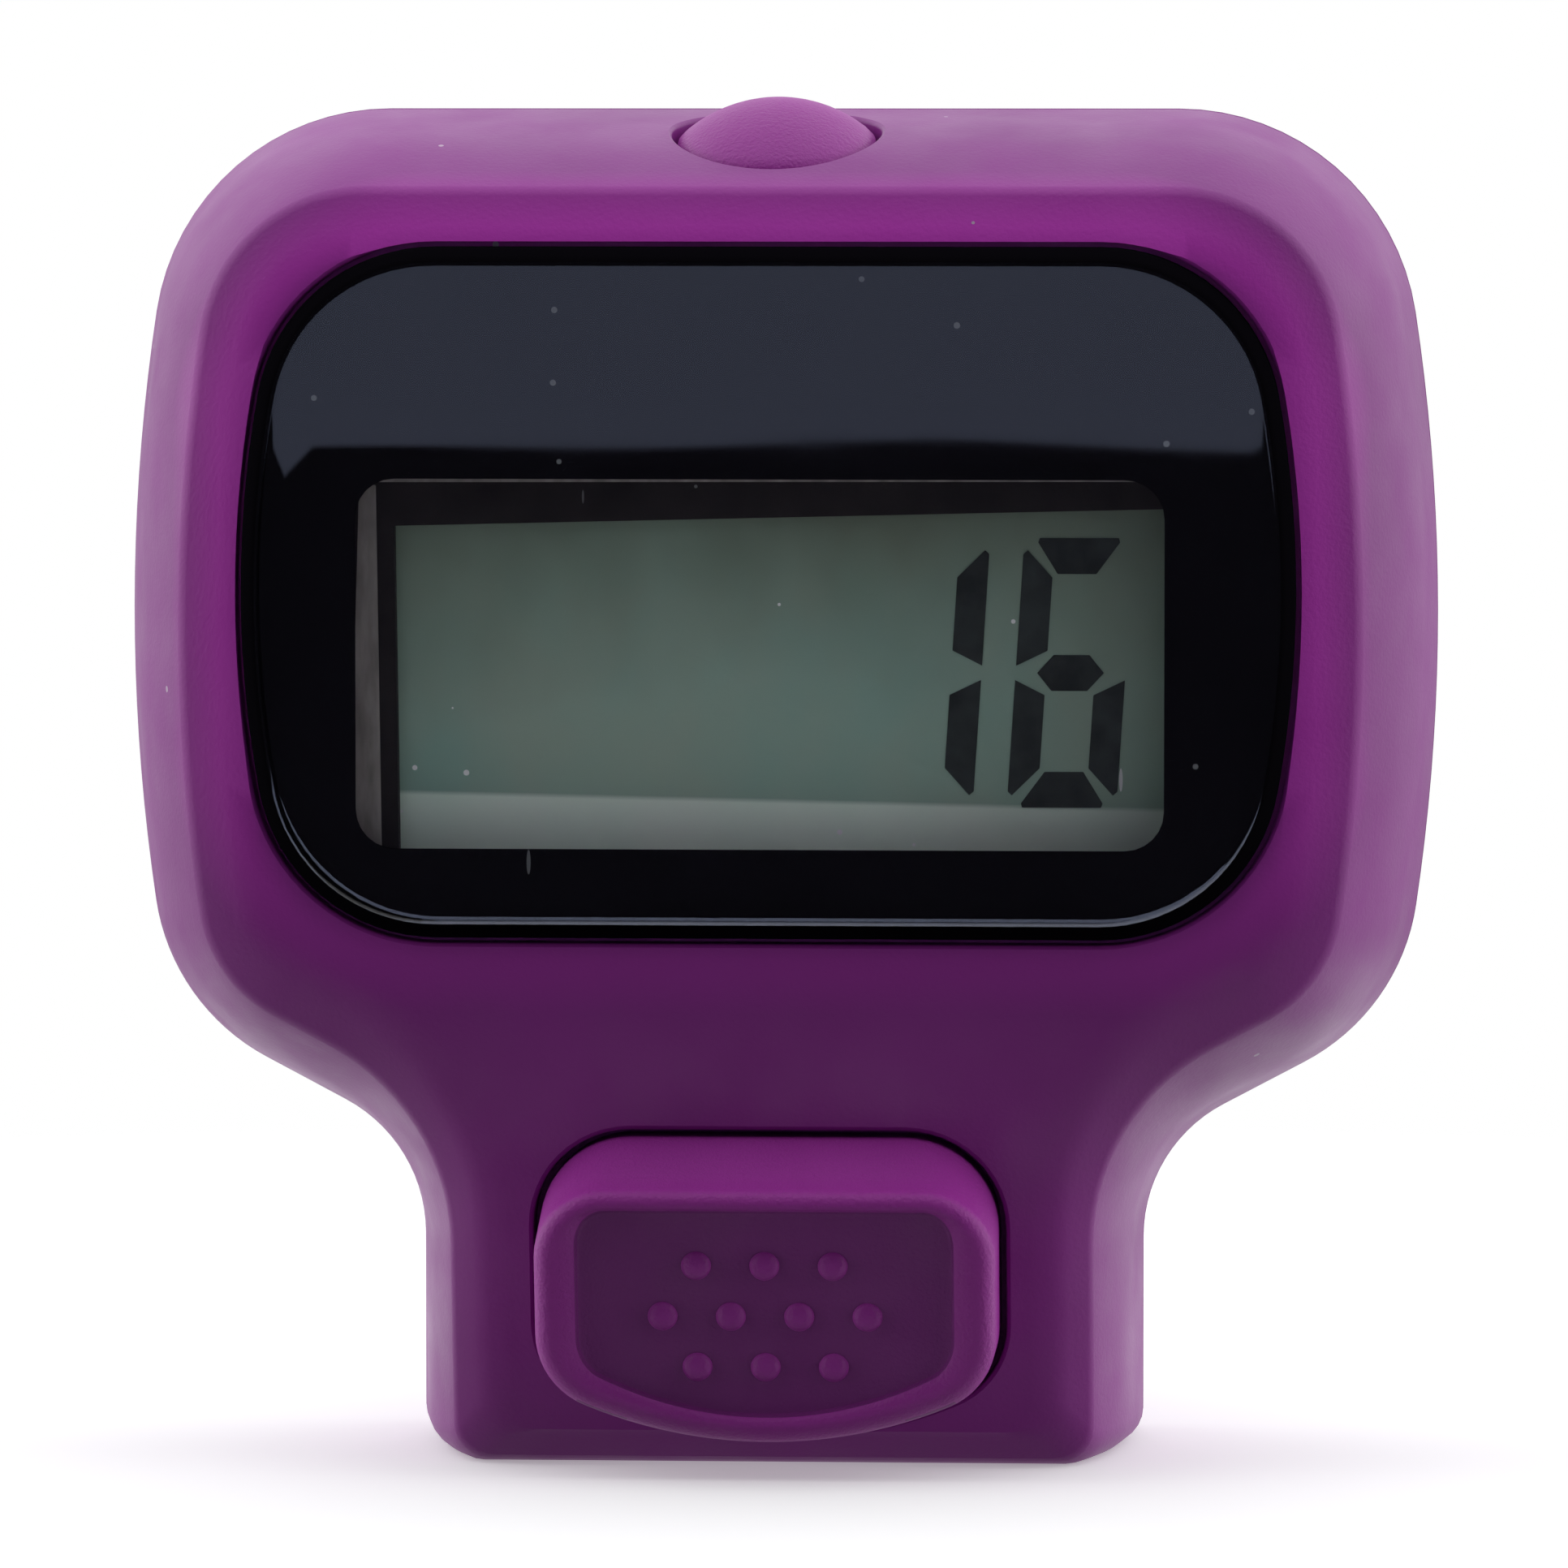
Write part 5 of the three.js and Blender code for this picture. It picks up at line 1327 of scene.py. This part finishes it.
def painted_rim_light(tree):
    """Painted light: from 0 to 1 towards the rim round the display's top and sides, which is painted paler as
    if it caught more light.
    """
    parts = add_node(tree, "SeparateXYZ", {"Vector": place_on(tree)})
    middle = (LENS_TOP + LENS_BOTTOM) / 2
    half = (LENS_TOP - LENS_BOTTOM) / 2
    beyond = []
    for name, centre, reach in (("X", 0, LENS_HALF_WIDTH - LENS_CORNER), ("Z", middle, half - LENS_CORNER)):
        far = reckon(tree, "ABSOLUTE", reckon(tree, "SUBTRACT", parts.outputs[name], centre * MM))
        beyond.append(reckon(tree, "MAXIMUM", reckon(tree, "SUBTRACT", far, reach * MM), 0))
    squares = [reckon(tree, "MULTIPLY", value, value) for value in beyond]
    distance = reckon(tree, "SQRT", reckon(tree, "ADD", *squares))
    close = spread(tree, distance, 1, 0, (LENS_CORNER + 0.6) * MM, (LENS_CORNER + 2.1) * MM)
    high = spread(tree, parts.outputs["Z"], 0, 1, (LENS_BOTTOM - 8) * MM, (LENS_BOTTOM + 8) * MM)
    return reckon(tree, "MULTIPLY", close, high)


def moulded_plastic(name, color, roughness, grain_mm, grain_height, unevenness=0.1, painted_rim_light_color=None):
    """Coloured plastic from a finely eroded mould, slightly uneven in tone and polished by handling; a rim
    colour adds painted light round the display.
    """
    material = new_material(name, color, roughness, IOR=1.5, Specular_IOR_Level=0.35)
    tree = material.node_tree
    place = place_on(tree)
    slow = patches(tree, place, 9, 3)
    tone = blended(tree, slow, shaded(color, 1 - unevenness), shaded(color, 1 + unevenness))
    # Painted light on the rim round the display; the flecks and scratches are real marks
    if painted_rim_light_color:
        tone = blended(tree, painted_rim_light(tree), tone, painted_rim_light_color)
        tone = blended(tree, specks(tree, 2.6, 0.035, 0.5), tone, CASE_FLECK)
        tone = blended(tree, specks(tree, 3.4, 0.02, 0.5, (1, 1, 0.2), 0.4), tone, CASE_SCRATCH)
    fine = grain(tree, place, grain_mm, 3, 0.6)
    polish = spread(tree, grain(tree, place, 2.5, 4), roughness - 0.05, roughness + 0.06)
    finish(material, tone, polish, fine, grain_height)
    return material


def rubber(name, color):
    """Soft rubber, a little blotchy, with sparse pale lint."""
    material = new_material(name, color, 0.62, IOR=1.45)
    tree = material.node_tree
    place = place_on(tree)
    tone = blended(tree, patches(tree, place, 5, 4), shaded(color, 0.88), shaded(color, 1.12))
    lint = blended(tree, specks(tree, 0.7, 0.09, 0.12), tone, shaded(color, 2.6))
    polish = spread(tree, grain(tree, place, 1.2, 3), 0.55, 0.7)
    finish(material, lint, polish, grain(tree, place, 0.12, 3), 0.012)
    return material


def with_dust(tree, color, dust=LENS_DUST):
    """Dust and hair scratches of the lens, which show as pale marks over what lies behind it."""
    dusted = blended(tree, specks(tree, 1.3, 0.07, 0.55), color, dust)
    scratched = blended(tree, specks(tree, 1.6, 0.035, 0.8, (1, 1, 0.16), 0.5), dusted, shaded(dust, 0.7))
    return blended(tree, specks(tree, 2.2, 0.03, 0.7, (0.2, 1, 1), -0.2), scratched, shaded(dust, 0.6))


def mask_ink_material():
    material = new_material("mask_ink", INK_BLACK, 0.6, Specular_IOR_Level=0.0)
    tree = material.node_tree
    tone = patches(tree, place_on(tree), 3, 3)
    finish(material, with_dust(tree, blended(tree, tone, *INK_TONES)))
    return material


def toned(name, color, roughness, tone_grain, darkest, palest, bump_grain, height_mm=0.01,
          stretch=(1, 1, 1), dusty=False, **sockets):
    """A surface of uneven tone; each grain is a size in millimetres and a degree of detail."""
    material = new_material(name, color, roughness, **sockets)
    tree = material.node_tree
    place = place_on(tree, stretch)
    tone = blended(tree, patches(tree, place, *tone_grain), shaded(color, darkest), shaded(color, palest))
    if dusty:
        tone = with_dust(tree, tone)
    finish(material, tone, None, grain(tree, place, *bump_grain) if bump_grain else None, height_mm)
    return material


def display_film_material():
    """The grey-green display: shaded by the bezel above, mottled in the middle, with a paler lowest strip."""
    material = new_material("polarizer_film", DISPLAY_GREEN, 0.45, Specular_IOR_Level=0.1)
    tree = material.node_tree
    place = place_on(tree)
    parts = add_node(tree, "SeparateXYZ", {"Vector": place})
    across = parts.outputs["X"]
    up = parts.outputs["Z"]
    cloud = grain(tree, place_on(tree, (1, 1, 0.6)), 5, 3, 0.55)
    wavy = reckon(tree, "ADD", up, spread(tree, cloud, -SHADE_WAVE * MM, SHADE_WAVE * MM))
    shadow = spread(tree, wavy, 0, 1, (WINDOW_TOP - SHADE_END) * MM, (WINDOW_TOP - SHADE_START) * MM)
    teal = patches(tree, place_on(tree, (1, 1, 0.7)), 3.2, 2)
    whole = blended(tree, shadow, blended(tree, teal, *DISPLAY_TONES), DISPLAY_SHADE)
    tilted = reckon(tree, "ADD", up, reckon(tree, "MULTIPLY", across, STRIP_TILT))
    strip = spread(tree, tilted, 1, 0, (WINDOW_BOTTOM + STRIP_START) * MM, (WINDOW_BOTTOM + STRIP_END) * MM)
    whole = blended(tree, strip, whole, blended(tree, teal, *STRIP_TONES))
    right_end = spread(tree, across, 0, 0.45, RIGHT_END_START * MM, RIGHT_END_FULL * MM)
    whole = blended(tree, right_end, whole, DISPLAY_RIGHT_END)
    finish(material, with_dust(tree, whole, DISPLAY_DUST), None, cloud, 0.01)
    return material


def clear_layer(name, color, ior, grain_mm, detail, smoothest, roughest):
    """Clear glass or plastic, polished unevenly."""
    material = new_material(name, color, smoothest, Transmission_Weight=1.0, IOR=ior)
    tree = material.node_tree
    finish(material, None, spread(tree, grain(tree, place_on(tree), grain_mm, detail), smoothest, roughest))
    return material


def zebra_material():
    """Striped rubber: thin black conducting layers between pale ones."""
    material = new_material("zebra_rubber", ZEBRA_TONES[0], 0.7)
    tree = material.node_tree
    waves = add_node(tree, "TexWave", {"Vector": place_on(tree)}, bands_direction="X", Scale=650.0)
    stripes = blended(tree, waves.outputs["Fac"], *ZEBRA_TONES)
    finish(material, stripes, None, waves.outputs["Fac"], 0.02)
    return material


def board_material():
    """Green solder resist over copper tracks that show through as paler lines."""
    material = new_material("circuit_board", BOARD_GREEN, 0.35)
    tree = material.node_tree
    tracks = add_node(tree, "TexBrick", {"Vector": place_on(tree)}, Scale=330.0, offset=0.35)
    for key, value in BOARD_TONES.items():
        tracks.inputs[key].default_value = (*value, 1)
    tracks.inputs["Mortar Size"].default_value = 0.03
    polish = spread(tree, grain(tree, place_on(tree), 1.5, 3), 0.28, 0.45)
    finish(material, tracks.outputs["Color"], polish, tracks.outputs["Fac"], 0.03)
    return material


def grained(name, color, roughness, size_mm, bump_mm, tones=(0.75, 1.25), polish=(0.06, 0.06),
            stretch=(1, 1, 1), coarseness=0.5, **sockets):
    """A surface whose tone, polish and small heights follow one uneven grain."""
    material = new_material(name, color, roughness, **sockets)
    tree = material.node_tree
    fine = grain(tree, place_on(tree, stretch), size_mm, 4, coarseness)
    darkest, palest = (shaded(color, share) for share in tones)
    tone = blended(tree, spread(tree, fine, 0, 1), darkest, palest)
    finish(material, tone, spread(tree, fine, roughness - polish[0], roughness + polish[1]), fine, bump_mm)
    return material


def metal(name, color, roughness, size_mm, stretch=(1, 1, 1)):
    return grained(
        name, color, roughness, size_mm, 0.004, (0.86, 1.08), (0.08, 0.12), stretch, 0.6, Metallic=1.0,
    )


# The case's rim round the display carries painted light
case_plastic = moulded_plastic("case_plastic", CASE_PURPLE, 0.42, 0.14, 0.009, painted_rim_light_color=PAINTED_RIM_LIGHT_PURPLE)
# The buttons' plastic is painted paler than the case's, as painted light
button_plastic = moulded_plastic("button_plastic", BUTTON_PAINTED_LIGHT_PURPLE, 0.45, 0.11, 0.035, 0.08)
# Painted shade: a darker copy of the button's plastic for its sunk face
button_dish_painted_shade = moulded_plastic("button_dish_painted_shade", PAINTED_SHADE_DISH_PURPLE, 0.5, 0.11, 0.03, 0.14)
strap_rubber = rubber("strap_rubber", STRAP_PURPLE)
# Painted shade for the lens's bevel and sides
lens_bevel_painted_shade = new_material("lens_bevel_painted_shade", PAINTED_SHADE_BLACK, 0.4, Specular_IOR_Level=0.0)
lens_acrylic = clear_layer("lens_acrylic", (1, 1, 1), 1.49, 6, 4, 0.008, 0.03)
mask_ink = mask_ink_material()
holder_plastic = toned(
    "holder_plastic", HOLDER_BROWN, 0.6, (1.4, 4), 0.75, 1.3, (0.2, 3), dusty=True, Specular_IOR_Level=0.1,
)
# Painted highlight for the display window's edges
painted_glint_edge = toned(
    "painted_glint_edge", PAINTED_GLINT_GREY, 0.5, (0.5, 4), 0.6, 1.2, (0.2, 2), 0.02, (1, 1, 0.25), Specular_IOR_Level=0.1,
)
film = display_film_material()
segment_dye = toned(
    "segment_dye", SEGMENT_GREY, 0.5, (0.9, 4), 0.7, 1.5, None, dusty=True, Specular_IOR_Level=0.1,
)
bright_steel = metal("bright_steel", STEEL_GREY, 0.3, 0.25)


def dress_nodes():
    """Gives the construction model's own inner parts their materials."""
    switch_plastic = grained("switch_plastic", SWITCH_BLACK, 0.45, 0.25, 0.01)
    epoxy = grained("black_epoxy", EPOXY_BLACK, 0.22, 1.2, 0.03)
    cell_glass = clear_layer("cell_glass", GLASS_GREEN, 1.5, 4, 3, 0.03, 0.1)
    brass = metal("spring_brass", BRASS_YELLOW, 0.3, 0.3, (0.2, 1, 1))
    finishes = {
        "lcd_front_glass": cell_glass,
        "lcd_rear_glass": cell_glass,
        "lcd_reflector": toned("reflector_film", REFLECTOR_GREEN, 0.4, (0.3, 3), 0.85, 1.15, (0.1, 2)),
        "zebra_connector": zebra_material(),
        "main_board": board_material(),
        "chip_blob": epoxy,
        "capacitor": grained("capacitor_ceramic", CERAMIC_TAN, 0.5, 0.2, 0.01),
        "resistor": epoxy,
        "count_switch_body": switch_plastic,
        "count_switch_cover": bright_steel,
        "count_switch_plunger": switch_plastic,
        "reset_switch_body": switch_plastic,
        "reset_switch_frame": bright_steel,
        "reset_switch_plunger": switch_plastic,
        "battery": metal("battery_steel", BATTERY_GREY, 0.24, 0.5, (0.15, 1, 1)),
        "battery_contact_positive": brass,
        "battery_contact_negative": brass,
    }
    for number in range(1, 5):
        finishes["board_screw_" + str(number)] = bright_steel
    for name, material in finishes.items():
        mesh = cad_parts[name].data
        mesh.materials.clear()
        mesh.materials.append(material)


dress_nodes()

dress(make_front_case(), case_plastic, "case", "case_plastic", "front_case")
dress(make_rear_case(), case_plastic, "case", "case_plastic", "rear_case")
lens = make_lens()
dress(lens, lens_acrylic, "case", "lens_acrylic", "display_lens")
# Painted shade on the lens's bevel and sides
paint_bevel_shade(lens, lens_bevel_painted_shade)
dress(make_mask(), mask_ink, "case", "mask_ink", "lens_mask")
dress(make_bezel(), holder_plastic, "case", "holder_plastic", "lcd_holder")
# Painted highlight strips at the display window's edges
dress(make_painted_glint(), painted_glint_edge, "case", "holder_plastic")
dress(make_display_face(), film, "case", "polarizer_film", "lcd_front_polarizer")
for digit in make_digits():
    dress(digit, segment_dye, "case", "black_epoxy")
count_key = make_count_button()
dress(count_key, button_plastic, "count_key", "button_plastic", "count_button")
# Painted shade in the count button's sunk face
paint_dish_shade(count_key, button_dish_painted_shade)
dress(make_reset_button(), button_plastic, "reset_key", "button_plastic", "reset_button")
dress(make_battery_cover(), case_plastic, "battery_door", "case_plastic", "battery_cover")
door_screw = make_screw("door_screw", COVER_SCREW_X, BATTERY_HEIGHT, DOOR_SCREW_SEAT, 0.5, 1.2, 0.5, 2.6)
dress(door_screw, bright_steel, "battery_door", "bright_steel", "battery_cover_screw")
for number, (x, z) in enumerate(CASE_SCREWS, 1):
    screw = make_screw("rear_screw_" + str(number), x, z, CASE_SCREW_SEAT, 0.75, 1.3, 1, 5)
    dress(screw, bright_steel, "case", "bright_steel", "case_screw_" + str(number))
dress(make_peg_half(), strap_rubber, "case", "strap_rubber", "strap_peg_half")
dress(make_hole_half(), strap_rubber, "case", "strap_rubber", "strap_hole_half")


# Light and stage
LOW_LIGHT = (0.09, 0.09, 0.095)
HIGH_LIGHT = (1.12, 1.12, 1.15)
SIDE_LIGHT = (2.0, 2.0, 2.0)
ROOM_SHADE = (0.013, 0.012, 0.018)
ROOM_WALL = (0.62, 0.7, 1.03)
SKY_RISE = (-0.35, 0.35)
SIDE_RISE = (-0.3, 0.1)
SIDE_SHARES = (0.25, 0.85)
ROOM_EDGE = (0.27, 0.61)
ROOM_WALL_FOOT = (-0.0265, -0.0251)
ROOM_WALL_TOP = (0.08, 0.12)
ROOM_WALL_SIDES = (0.2, 0.26)
ROOM_WALL_WAVES = 60.0
ROOM_WALL_WAVE_HEIGHT = 0.0006
WINDOW_LIGHT = 2.4
FLOOR_RADIUS = 110
FLOOR_FADE_START = 40
FLOOR_FADE_END = 90
FLOOR_GLOW = 0.3
FLOOR_WHITE = (0.93, 0.93, 0.93, 1)


def brightened(tree, color, times):
    """A colour times a number, for the light that falls through the display's window."""
    node = add_node(tree, "VectorMath", {0: color}, operation="SCALE")
    node.inputs["Scale"].default_value = times
    return node.outputs["Vector"]


def make_light():
    """A white studio round a dim room that the counter faces, whose pale wall is mirrored in the lens."""
    world = bpy.data.worlds.new("studio")
    bpy.context.scene.world = world
    world.use_nodes = True
    tree = world.node_tree
    background = tree.nodes["Background"]
    parts = add_node(tree, "SeparateXYZ", {"Vector": add_node(tree, "TexCoord").outputs["Generated"]})
    across, deep, up = (parts.outputs[name] for name in "XYZ")
    around = blended(tree, spread(tree, up, 0, 1, *SKY_RISE), LOW_LIGHT, HIGH_LIGHT)
    sides = reckon(tree, "MULTIPLY", across, across)
    sides = reckon(tree, "MULTIPLY", sides, spread(tree, up, *SIDE_SHARES, *SIDE_RISE))
    around = blended(tree, sides, around, SIDE_LIGHT)
    wave = reckon(tree, "SINE", reckon(tree, "MULTIPLY", across, ROOM_WALL_WAVES))
    wavy = reckon(tree, "ADD", up, reckon(tree, "MULTIPLY", wave, ROOM_WALL_WAVE_HEIGHT))
    wall_from = spread(tree, wavy, 0, 1, *ROOM_WALL_FOOT)
    wall_to = spread(tree, up, 1, 0, *ROOM_WALL_TOP)
    wall_side = spread(tree, reckon(tree, "ABSOLUTE", across), 1, 0, *ROOM_WALL_SIDES)
    wall = reckon(tree, "MULTIPLY", reckon(tree, "MULTIPLY", wall_from, wall_to), wall_side)
    room = blended(tree, wall, ROOM_SHADE, ROOM_WALL)
    facing = spread(tree, reckon(tree, "MULTIPLY", deep, -1.0), 0, 1, *ROOM_EDGE)
    lit = blended(tree, facing, around, room)
    rays = add_node(tree, "LightPath")
    lit = blended(tree, rays.outputs["Is Transmission Ray"], lit, brightened(tree, lit, WINDOW_LIGHT))
    behind = spread(tree, deep, 0, 1, -0.01, 0.01)
    through = reckon(tree, "MULTIPLY", rays.outputs["Is Transmission Ray"], behind)
    seen = reckon(tree, "MAXIMUM", rays.outputs["Is Camera Ray"], through)
    tree.links.new(blended(tree, seen, lit, (1.0, 1.0, 1.0)), background.inputs["Color"])


def make_floor():
    """A pale floor close round the counter, which fades into the white surroundings."""
    quiet()
    bpy.ops.mesh.primitive_circle_add(vertices=96, radius=FLOOR_RADIUS * MM, fill_type="NGON")
    floor = named("floor")
    material = bpy.data.materials.new("floor_white")
    material.use_nodes = True
    tree = material.node_tree
    shader = tree.nodes["Principled BSDF"]
    shader.inputs["Base Color"].default_value = FLOOR_WHITE
    shader.inputs["Roughness"].default_value = 0.9
    shader.inputs["Emission Color"].default_value = (1, 1, 1, 1)
    shader.inputs["Emission Strength"].default_value = FLOOR_GLOW
    clear = add_node(tree, "BsdfTransparent")
    place = add_node(tree, "TexCoord").outputs["Object"]
    distance = add_node(tree, "VectorMath", {0: place}, operation="LENGTH").outputs["Value"]
    rays = add_node(tree, "LightPath")
    bounced = reckon(tree, "MAXIMUM", rays.outputs["Is Diffuse Ray"], rays.outputs["Is Shadow Ray"])
    far = spread(tree, distance, 0, 1, FLOOR_FADE_START * MM, FLOOR_FADE_END * MM)
    fade = reckon(tree, "MAXIMUM", far, bounced)
    mixed = add_node(tree, "MixShader", {0: fade, 1: shader.outputs["BSDF"], 2: clear.outputs["BSDF"]})
    tree.links.new(mixed.outputs["Shader"], tree.nodes["Material Output"].inputs["Surface"])
    floor.data.materials.append(material)


make_light()
make_floor()
bpy.context.scene.view_settings.view_transform = "Standard"
